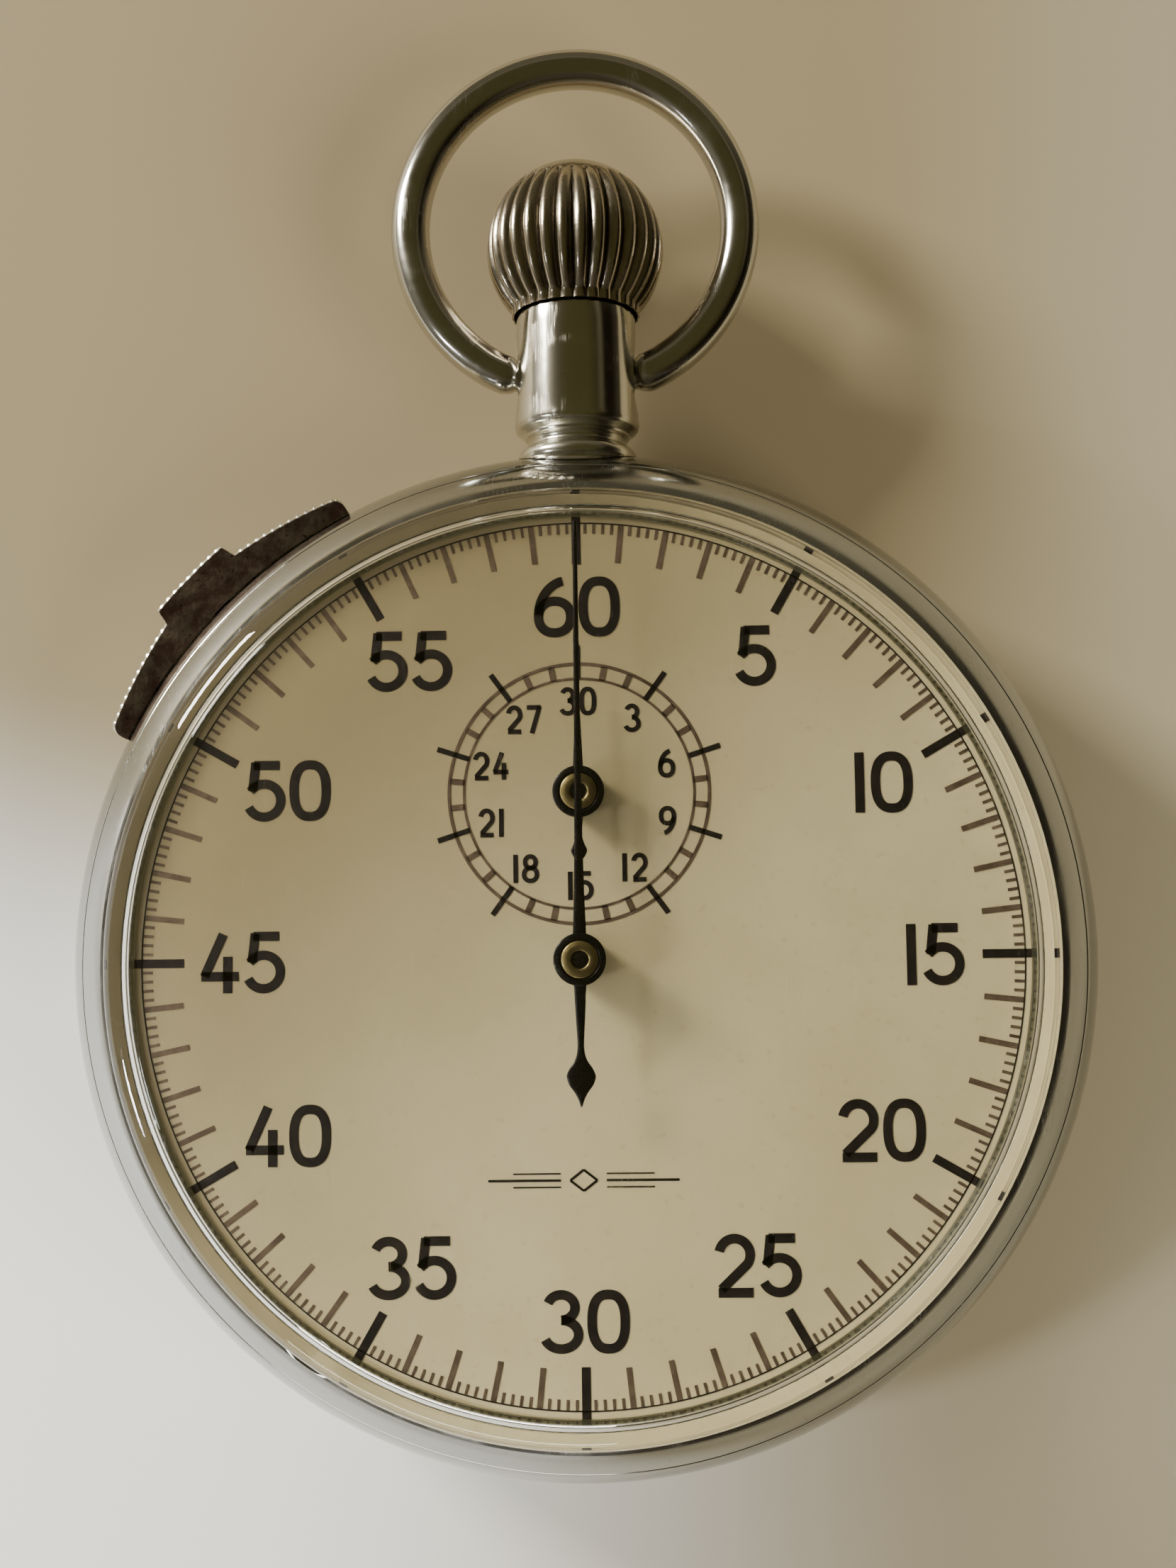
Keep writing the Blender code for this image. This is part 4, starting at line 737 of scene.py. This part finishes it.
bore = np.array([(bore_r, rim_y - skirt - crown_y), (bore_r, rim_y + 1.45 - crown_y),
                 (stem_r, rim_y + 1.45 - crown_y), (stem_r, rim_y + 3.6 - crown_y),
                 (0, rim_y + 3.6 - crown_y)])
radius = np.vstack([radius, np.broadcast_to(bore[:, :1], (len(bore), sides))])
groove = np.vstack([groove, np.ones((len(bore), sides))])
grid = ring_points(radius, np.concatenate([heights, bore[:, 1]]), (0, crown_y, mid_z), "Y", sides)
crown = surface("fluted_crown", grid, wrap_columns=True, low=groove)
settle(crown, worn_nickel, "crown", replaces="crown", sharp=60)

# %% [markdown]
# ## The slide
# A bent steel slide hugs the flank. Its section is a loop that follows the flank inside and is nearly
# square outside; the outer radius changes along the slide, with a thumb ridge in the middle and fine
# serrations r - depth |sin| cut across the outer face.

# %% Slide
half_span, ridge_half = math.radians(18.3), math.radians(4.6)
tip_r, mid_r, ridge_r = 26.65, 27.3, 28.05
tooth_pitch, tooth_depth = 0.24, 0.055
slide_low, slide_high = 3.4, 7.8
a = np.linspace(-half_span, half_span, 820)
away = np.clip((np.abs(a) - ridge_half) / (half_span - ridge_half), 0, 1)
wing = mid_r + (tip_r - mid_r) * away
flat_top = np.minimum(ridge_r * np.cos(ridge_half) / np.cos(a) + 0.08, ridge_r)
up = np.clip((ridge_half + 0.012 - np.abs(a)) / 0.012, 0, 1)
up = up * up * (3 - 2 * up)
outline = wing + (flat_top - wing) * up
from_end = np.clip((half_span - np.abs(a)) / math.radians(1.1), 0, 1)
outline = outline - 0.55 * (1 - np.sqrt(1 - (1 - from_end) ** 2))
teeth = tooth_depth * np.abs(np.sin(a * 27.0 / tooth_pitch * np.pi / 2))
teeth = teeth * (from_end > 0.5) * ((up < 0.02) | (up > 0.98))
z_in = np.linspace(slide_low, slide_high, 9)
inner = np.stack([flank_r(z_in) + 0.09, z_in], axis=1)
edge = 0.17
section_r = [np.full_like(a, r) for r in inner[:, 0]]
section_z = list(inner[:, 1])
face_kept = [0.0] * 8 + [1.0]
for inset, z, rough_in, kept in ((edge + 0.05, slide_high, 0, 1.0), (edge, slide_high, 0, 0.0),
                                 (0.02, slide_high - 0.1, 1, 0.0), (0.0, 6.4, 1, 0.0), (0.0, 4.8, 1, 0.0),
                                 (0.02, slide_low + edge, 1, 0.0), (edge, slide_low, 0, 0.3)):
    section_r.append(outline - inset - rough_in * teeth)
    section_z.append(z)
    face_kept.append(kept)
section_r, section_z = np.array(section_r).T, np.array(section_z)
section_r = np.maximum(section_r, inner[:, 0].min())
turned_by = slide_angle + a[:, None]
grid = np.stack([section_r * np.cos(turned_by), section_r * np.sin(turned_by),
                 np.broadcast_to(section_z, section_r.shape)], axis=-1)
ends = [grid[i].mean(0, keepdims=True).repeat(grid.shape[1], 0) for i in (0, -1)]
grid = np.concatenate([ends[:1], grid, ends[1:]])
slide = surface("thumb_slide", grid, wrap_columns=True, face=np.array(face_kept)[None, :])
settle(slide, slide_steel, "slide", replaces="slide_button", sharp=40)
t = np.linspace(0, 2 * np.pi, 24, endpoint=False)
rows = []
for reach, size in ((20.1, 0.0), (20.1, 0.9), (20.2, 1.0), (25.9, 1.0), (25.9, 0.0)):
    rows.append(out * reach + pin_r * size * (side * np.cos(t)[:, None] + upward * np.sin(t)[:, None])
                + np.array([0, 0, pin_z]))
settle(surface("slide_pin", np.array(rows), wrap_columns=True), steel, "slide")

# %% [markdown]
# ## The dial's print
# Ink stands a hair above the lacquer. Every mark is a stroke of constant width: a centre line with a
# width, made a thin closed slab. A long stroke's sides lie at p + n w / 2 and p - n w / 2, where n is
# square to the line. Straight marks are worked out all at once.

# %% Strokes and ticks
ink_low, ink_high = dial_z + 0.003, dial_z + 0.02


def slabs(name, lines):
    """One mesh from many strokes: each is (points, width, closed), and becomes a closed slab."""
    corners, faces, start = [], [], 0
    for points, width, closed in lines:
        points = np.asarray(points, float)
        count = len(points)
        if closed:
            run = np.roll(points, -1, axis=0) - np.roll(points, 1, axis=0)
        else:
            run = np.gradient(points, axis=0)
        normal = np.stack([-run[:, 1], run[:, 0]], axis=1) / np.linalg.norm(run, axis=1, keepdims=True)
        left, right = points + normal * width / 2, points - normal * width / 2
        high, low = np.full((count, 1), ink_high), np.full((count, 1), ink_low)
        rails = np.stack([np.hstack([left, high]), np.hstack([right, high]), np.hstack([right, low]),
                          np.hstack([left, low])], axis=1)
        index = start + np.arange(count * 4).reshape(count, 4)
        ring = np.vstack([index, index[:1]]) if closed else index
        ring = np.hstack([ring, ring[:, :1]])
        quads = np.stack([ring[:-1, :-1], ring[:-1, 1:], ring[1:, 1:], ring[1:, :-1]], axis=-1)
        faces.append(quads.reshape(-1, 4))
        if not closed:
            faces.append(np.array([index[0, ::-1], index[-1]]))
        corners.append(rails.reshape(-1, 3))
        start += count * 4
    corners, faces = np.vstack(corners) * MM, np.vstack(faces)
    mesh = bpy.data.meshes.new(name)
    mesh.from_pydata(corners.tolist(), [], faces.tolist())
    return link(name, mesh)


def clockwise(turns, radius, centre_y=0.0):
    """Points at a radius, for turns counted clockwise from twelve o'clock."""
    a = 2 * np.pi * np.asarray(turns, float)
    return np.stack([radius * np.sin(a), centre_y + radius * np.cos(a)], axis=-1)


def ticks(turns, inner, outer, width, centre_y=0.0):
    near, far = clockwise(turns, inner, centre_y), clockwise(turns, outer, centre_y)
    return [(np.array(pair), width, False) for pair in zip(near, far)]


def circle_line(radius, width, centre_y=0.0):
    return (clockwise(np.linspace(0, 1, 240, endpoint=False), radius, centre_y), width, True)


fifths = np.arange(300)
seconds = fifths[fifths % 5 == 0]
fine = ticks(fifths[fifths % 5 > 0] / 300, 20.9, 21.43, 0.15)
fine += ticks(seconds[seconds % 25 > 0] / 300, 19.5, 21.43, 0.28)
settle(slabs("seconds_track_fine", fine), thin_ink, "case", sharp=30)
bold = ticks(seconds[seconds % 25 == 0] / 300, 19.37, 22.0, 0.43)
bold.append(circle_line(21.45, 0.08))
settle(slabs("seconds_track_bold", bold), ink, "case", sharp=30)

minutes = np.arange(30)
fine = ticks(minutes[minutes % 3 > 0] / 30, 5.62, 6.33, 0.30, minute_y)
fine += [circle_line(6.36, 0.17, minute_y), circle_line(5.63, 0.13, minute_y)]
settle(slabs("minutes_ring_fine", fine), thin_ink, "case", sharp=30)
bold = ticks(minutes[minutes % 3 == 0] / 30, 5.61, 7.28, 0.27, minute_y)
settle(slabs("minutes_ring_bold", bold), ink, "case", sharp=30)

# %% [markdown]
# The numerals are drawn with the same strokes, in the plain constant-width style of technical
# lettering. Each digit lives in a unit box and is built from arcs and straight bars, and `numeral`
# sets a number's digits side by side. The wide numbers at the sides sit a little further in.

# %% Digits
def bend(cx, cy, rx, ry, start, end, count=28):
    """An arc of an ellipse between two angles in degrees."""
    a = np.radians(np.linspace(start, end, count))
    return np.stack([cx + rx * np.cos(a), cy + ry * np.sin(a)], axis=1)


def oval(cx, cy, rx, ry, power=2.5):
    """A closed squarish oval: x and y are cos and sin raised to 2 / power, with their signs."""
    a = np.linspace(0, 2 * np.pi, 64, endpoint=False)
    c, s = np.cos(a), np.sin(a)
    x = cx + rx * np.sign(c) * np.abs(c) ** (2 / power)
    y = cy + ry * np.sign(s) * np.abs(s) ** (2 / power)
    return np.stack([x, y], axis=1)


# Each stroke is (points, closed), in a box one unit wide and one unit high.
DIGITS = {
    "0": [(oval(0.5, 0.5, 0.5, 0.5), True)],
    "1": [([(0.5, -0.08), (0.5, 1.08)], False)],
    "2": [(np.vstack([bend(0.5, 0.70, 0.47, 0.30, 168, -34), [(0.09, 0.06)]]), False),
          ([(0.0, 0.0), (1.05, 0.0)], False)],
    "3": [(bend(0.46, 0.765, 0.42, 0.235, 160, -90), False),
          (bend(0.46, 0.265, 0.52, 0.265, 90, -160), False)],
    "4": [([(0.60, 1.05), (0.02, 0.24)], False), ([(-0.08, 0.24), (1.08, 0.24)], False),
          ([(0.74, 0.62), (0.74, -0.08)], False)],
    "5": [([(0.14, 1.0), (0.94, 1.0)], False), ([(0.20, 1.06), (0.10, 0.50)], False),
          (bend(0.46, 0.32, 0.52, 0.32, 146, -156), False)],
    "6": [(oval(0.5, 0.31, 0.5, 0.31, 2.2), True), (bend(0.92, 0.33, 0.92, 0.69, 100, 178), False)],
    "7": [([(-0.04, 1.0), (1.04, 1.0)], False), ([(0.96, 1.04), (0.34, -0.08)], False)],
    "8": [(oval(0.5, 0.765, 0.41, 0.235, 2.1), True), (oval(0.5, 0.265, 0.5, 0.265, 2.1), True)],
    "9": [(oval(0.5, 0.69, 0.5, 0.31, 2.2), True), (bend(0.08, 0.67, 0.92, 0.69, -80, -2), False)],
}


def numeral(number, centre, height, stroke, share, gap):
    """The strokes of an upright number, its digits side by side around a centre.

    A digit is `share` of its height wide, but a 1 takes only its stroke and a little air."""
    air = 0.05 * height
    cells = [stroke + 2 * air if digit == "1" else share * height for digit in str(number)]
    total = sum(cells) + gap * (len(cells) - 1)
    x, lines = centre[0] - total / 2, []
    for digit, cell in zip(str(number), cells):
        inside, shift = (0.0, cell / 2) if digit == "1" else (cell - stroke, stroke / 2)
        for points, closed in DIGITS[digit]:
            placed = np.asarray(points, float) * (inside, height - stroke)
            if digit == "1":
                placed[:, 0] = 0.0
            lines.append((placed + (x + shift, centre[1] - (height - stroke) / 2), stroke, closed))
        x += cell + gap
    return lines


large = []
for fives in range(12):
    number = fives * 5 or 60
    around = 2 * math.pi * fives / 12
    sine, cosine = math.sin(around), math.cos(around)
    half = 1.02 if number == 5 else 1.5 if number in (10, 15) else 2.1
    middle = (17.05 * sine - 0.9 * sine * (half - 1.5), cosine * (17.25 - 0.6 * abs(sine)))
    large += numeral(number, middle, 3.0, 0.46, 0.68, 0.16)
settle(slabs("seconds_numerals", large), ink, "case", sharp=30)
small = []
for threes in range(10):
    small += numeral(threes * 3 or 30, clockwise(threes / 10, 4.52, minute_y), 1.42, 0.23, 0.60, 0.11)
settle(slabs("minutes_numerals", small), ink, "case", sharp=30)

# %% [markdown]
# Below the centre a maker would print a name. This dial carries a plain ornament in its place: a
# lozenge between two groups of three short rules.

# %% Ornament
ornament_y = -10.6
points = np.array([(-0.5, 0), (0, 0.5), (0.5, 0), (0, -0.5)]) * (1.3, 1.0) + (0, ornament_y)
lozenge = [(points[[i, (i + 1) % 4]], 0.12, False) for i in range(4)]
rules = []
for sign in (-1, 1):
    for reach, lift, width in ((4.6, 0.0, 0.12), (3.4, 0.32, 0.07), (3.4, -0.32, 0.07)):
        y = ornament_y + lift
        rules.append((np.array([(sign * 1.1, y), (sign * reach, y)]), width, False))
settle(slabs("dial_ornament", lozenge + rules), ink, "case", sharp=30)

# %% [markdown]
# ## Hands
# A hand is a slim blade with a leaf-shaped tail. Its width is a smooth function of the place along
# it, and its section is an ellipse, x = w / 2 cos t and z = thickness / 2 sin t, so light runs along it.

# %% Hands
def blade(name, stations, widths, thickness, z, centre_y, count=200):
    """A closed blade along Y; widths are read between stations and eased over a short stretch."""
    y = np.linspace(stations[0], stations[-1], count)
    wide = np.interp(y, stations, widths)
    ease = np.hanning(9)
    wide = np.convolve(np.pad(wide, 4, mode="edge"), ease / ease.sum(), mode="valid")
    wide[[0, -1]] = 0.0
    thick = np.full(count, thickness)
    thick[[0, -1]] = 0.0
    t = np.linspace(0, 2 * np.pi, 16, endpoint=False)
    grid = np.stack([wide[:, None] / 2 * np.cos(t), np.broadcast_to((y + centre_y)[:, None], (count, 16)),
                     z + thick[:, None] / 2 * np.sin(t)], axis=-1)
    return surface(name, grid, wrap_columns=True)


seconds_z = (span("seconds_hand")[0][2] + 0.27, span("seconds_hand")[1][2])
minute_z = (span("minute_hand")[0][2] + 0.21, span("minute_hand")[1][2])
seconds_stations = [-6.95, -6.6, -6.25, -5.9, -5.5, -5.1, -4.8, -4.5, -4.1, -1.2, 0, 1.2, 3, 5.5, 9, 21.2]
seconds_widths = [0.06, 0.28, 0.62, 1.18, 1.44, 1.10, 0.62, 0.40, 0.30, 0.60, 0.80, 0.64, 0.50, 0.40, 0.32,
                  0.21]
sweep = blade("seconds_needle", seconds_stations, seconds_widths, 0.16, seconds_z[0], 0.0, 460)
settle(sweep, black_steel, "seconds", replaces="seconds_hand", sharp=50)
short = blade("minute_needle", [-3.4, -3.2, -2.85, -2.5, -2.1, -1.0, 0, 1.0, 5.3],
              [0.05, 0.5, 0.84, 0.5, 0.28, 0.46, 0.6, 0.5, 0.14], 0.12, minute_z[0], minute_y, 220)
settle(short, black_steel, "minute", replaces="minute_hand", sharp=50)

# %% [markdown]
# Each hand sits on a collet: a blackened drum that stands just clear of the dial, with a turned brass
# cap in its top and the arbor's dark end in the middle. `top` is the top of the cap.

# %% Collets
for body, y, (level, top) in (("seconds", 0.0, seconds_z), ("minute", minute_y, minute_z)):
    base, foot = level - 0.18, dial_z + 0.2
    drum = [(0.5, foot), (1.1, foot), (1.1, base), (1.25, base), (1.26, top - 0.16), (0.95, top - 0.08),
            (0.9, top - 0.3), (0.5, top - 0.3)]
    ring = turned(f"{body}_collet", soften(drum, 0.07, ring=True), (0, y, 0), sides=72, ring=True)
    settle(ring, black_steel, body, sharp=50)
    bead = [(0.4, top - 0.3), (0.88, top - 0.3), (0.90, top - 0.08), (0.64, top), (0.46, top - 0.02),
            (0.4, top - 0.1)]
    cap = turned(f"{body}_cap", soften(bead, 0.08, ring=True), (0, y, 0), sides=72, ring=True)
    settle(cap, old_brass, body, sharp=50)
    stub = [(0, top - 0.1), (0.37, top - 0.12), (0.38, top - 0.4), (0, top - 0.4)]
    end = turned(f"{body}_arbor_end", soften(stub, 0.06), (0, y, 0), sides=48)
    settle(end, black_steel, body, sharp=50)

# %% [markdown]
# ## Pieces that keep their CAD shape
# The dial plate and everything behind it are right as they are, so they only take a finish.

# %% Finishes for the CAD nodes
kept = {"dial": paint, "brass": brass, "nickel": nickel, "steel": steel, "blued_steel": blued}
slots = {part["node"]: part["material_slot"] for part in frame["record"]["subparts"]}
for name, node in frame["nodes"].items():
    if slots[name] in kept:
        for material_slot in node.material_slots:
            material_slot.material = kept[slots[name]]
print("kept nodes:", sum(s in kept for s in slots.values()))

# %% [markdown]
# ## Floor, light and camera
# The stopwatch lies on a plain floor, pale towards the lower left and tan elsewhere. The pale part fades
# out to the right in painted shade, and the tan is painted lighter towards the right, a painted pool of
# light. Low daylight comes from the upper left, a faint sheet of light from the lower edge, and a spot
# makes a bright pool on the floor. The room above is dim and warm, which is what the chrome mirrors. A
# last lamp lights only the floor, so that its colour can be set without changing the metal.

# %% Floor
paper, tree, shader, place = finish("pale floor", (0.42, 0.36, 0.25), 0.0, Roughness=0.75)
parts = wire(tree, "ShaderNodeSeparateXYZ", Vector=place)
slope = maths(tree, "MULTIPLY_ADD", parts.outputs["X"], 0.35)
tree.links.new(parts.outputs["Y"], slope.node.inputs[2])
lower = between(tree, slope, 6.0, -14.0)
# Painted shade: the pale paper fades out towards the right, where the watch and its stand shade the floor.
painted_shade_fade = between(tree, parts.outputs["X"], 24.0, -24.0, 0.04, 1.0)
pale = maths(tree, "MULTIPLY", lower, painted_shade_fade)
# Painted light: the tan gets lighter towards the right, lifting the floor where the watch's shadow falls.
painted_light_rightward = between(tree, parts.outputs["X"], 14.0, 34.0)
tan = blend_colour(tree, painted_light_rightward, (0.34, 0.28, 0.165), (0.43, 0.38, 0.26))
tree.links.new(blend_colour(tree, pale, tan, (0.92, 0.92, 0.90)), shader.inputs["Base Color"])
bpy.ops.mesh.primitive_plane_add(size=3.0, location=(0, 0, -0.00004))
floor = bpy.context.object
floor.name = "floor"
floor.data.materials.append(paper)
floor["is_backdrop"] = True


# %% Lamps and room
def lamp(name, place_mm, aim_mm, size_mm, power, colour):
    data = bpy.data.lights.new(name, "AREA")
    data.shape = "RECTANGLE"
    data.size, data.size_y = size_mm[0] * MM, size_mm[1] * MM
    data.energy, data.color = power, colour
    made = bpy.data.objects.new(name, data)
    made.location = Vector(place_mm) * MM
    made.rotation_euler = (Vector(aim_mm) - Vector(place_mm)).to_track_quat("-Z", "Y").to_euler()
    bpy.context.scene.collection.objects.link(made)
    return made


lamp("window", (-332, 243, 160), (0, 0, 5), (105, 110), 3.55, (1.0, 0.94, 0.82))
lamp("lower sheet", (-110, -330, 70), (0, 0, 5), (260, 40), 0.35, (1.0, 0.97, 0.90))
fill = lamp("room fill", (330, -190, 260), (30, -10, 0), (260, 260), 1.9, (1.0, 0.95, 0.84))
fill.visible_glossy = False
lit = bpy.data.collections.new("lit by the room fill")
lit.objects.link(floor)
fill.light_linking.receiver_collection = lit

pool = bpy.data.objects.new("floor pool", bpy.data.lights.new("floor pool", "SPOT"))
pool.data.energy, pool.data.color = 3.0, (0.96, 0.98, 1.0)
pool.data.spot_size, pool.data.spot_blend, pool.data.shadow_soft_size = math.radians(30), 1.0, 0.02
pool_from, pool_to = Vector((-230, -70, 150)), Vector((-52, -34, 0))
pool.location = pool_from * MM
pool.rotation_euler = (pool_to - pool_from).to_track_quat("-Z", "Y").to_euler()
bpy.context.scene.collection.objects.link(pool)

# The room's colour by direction: light walls to the left and far, browner ones near, dim to the right,
# an olive ceiling and one lighter beam across its far half.
room = bpy.data.worlds.new("room")
bpy.context.scene.world = room
room.use_nodes = True
tree = room.node_tree
way = wire(tree, "ShaderNodeTexCoord").outputs["Generated"]
parts = wire(tree, "ShaderNodeSeparateXYZ", Vector=way)
aslant = maths(tree, "ADD", parts.outputs["X"], maths(tree, "MULTIPLY", parts.outputs["Y"], 0.35))
to_left = between(tree, aslant, 0.3, -0.8)
height = parts.outputs["Z"]
dim = blend_colour(tree, between(tree, height, 0.08, 0.3), (0.09, 0.074, 0.048), (0.022, 0.017, 0.009))
walls = blend_colour(tree, to_left, dim, (0.44, 0.40, 0.31))
far = between(tree, parts.outputs["Y"], 0.35, 0.95)
walls = blend_colour(tree, far, walls, (0.30, 0.26, 0.16))
near = between(tree, parts.outputs["Y"], -0.45, -0.8)
walls = blend_colour(tree, near, walls, (0.15, 0.115, 0.08))
beam = between(tree, maths(tree, "ABSOLUTE", maths(tree, "SUBTRACT", height, 0.62)), 0.0, 0.11, 1.0, 0.0)
beam = maths(tree, "MULTIPLY", beam, between(tree, parts.outputs["Y"], -0.1, 0.5))
tint = blend_colour(tree, between(tree, height, 0.5, 0.92), walls, (0.17, 0.145, 0.055))
tint = blend_colour(tree, maths(tree, "MULTIPLY", beam, 0.7), tint, (0.42, 0.36, 0.22))
tree.links.new(tint, tree.nodes["Background"].inputs["Color"])
tree.nodes["Background"].inputs["Strength"].default_value = 0.45

# %% [markdown]
# The camera stands almost straight above the dial. Its three axes are worked out from where it stands
# and where it aims, and turned by a small roll about the line of sight.

# %% Camera
stand = Vector((2.665, 1.579, 96.840))
aim = Vector((0.439, 8.522, dial_z))
back = (stand - aim).normalized()
right = Vector((0, 1, 0)).cross(back).normalized()
up = back.cross(right)
roll = math.radians(-0.738)
right, up = math.cos(roll) * right + math.sin(roll) * up, math.cos(roll) * up - math.sin(roll) * right
camera = bpy.data.objects.new("camera", bpy.data.cameras.new("camera"))
camera.location = stand * MM
camera.rotation_euler = Matrix((right, up, back)).transposed().to_euler()
camera.data.sensor_width = 36
camera.data.lens = 40.8
camera.data.clip_start, camera.data.clip_end = 0.005, 10
bpy.context.scene.collection.objects.link(camera)
bpy.context.scene.camera = camera

# %% [markdown]
# ## Size
# The finished model's box is measured over every shown piece but the floor.

# %% Size
low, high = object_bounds()
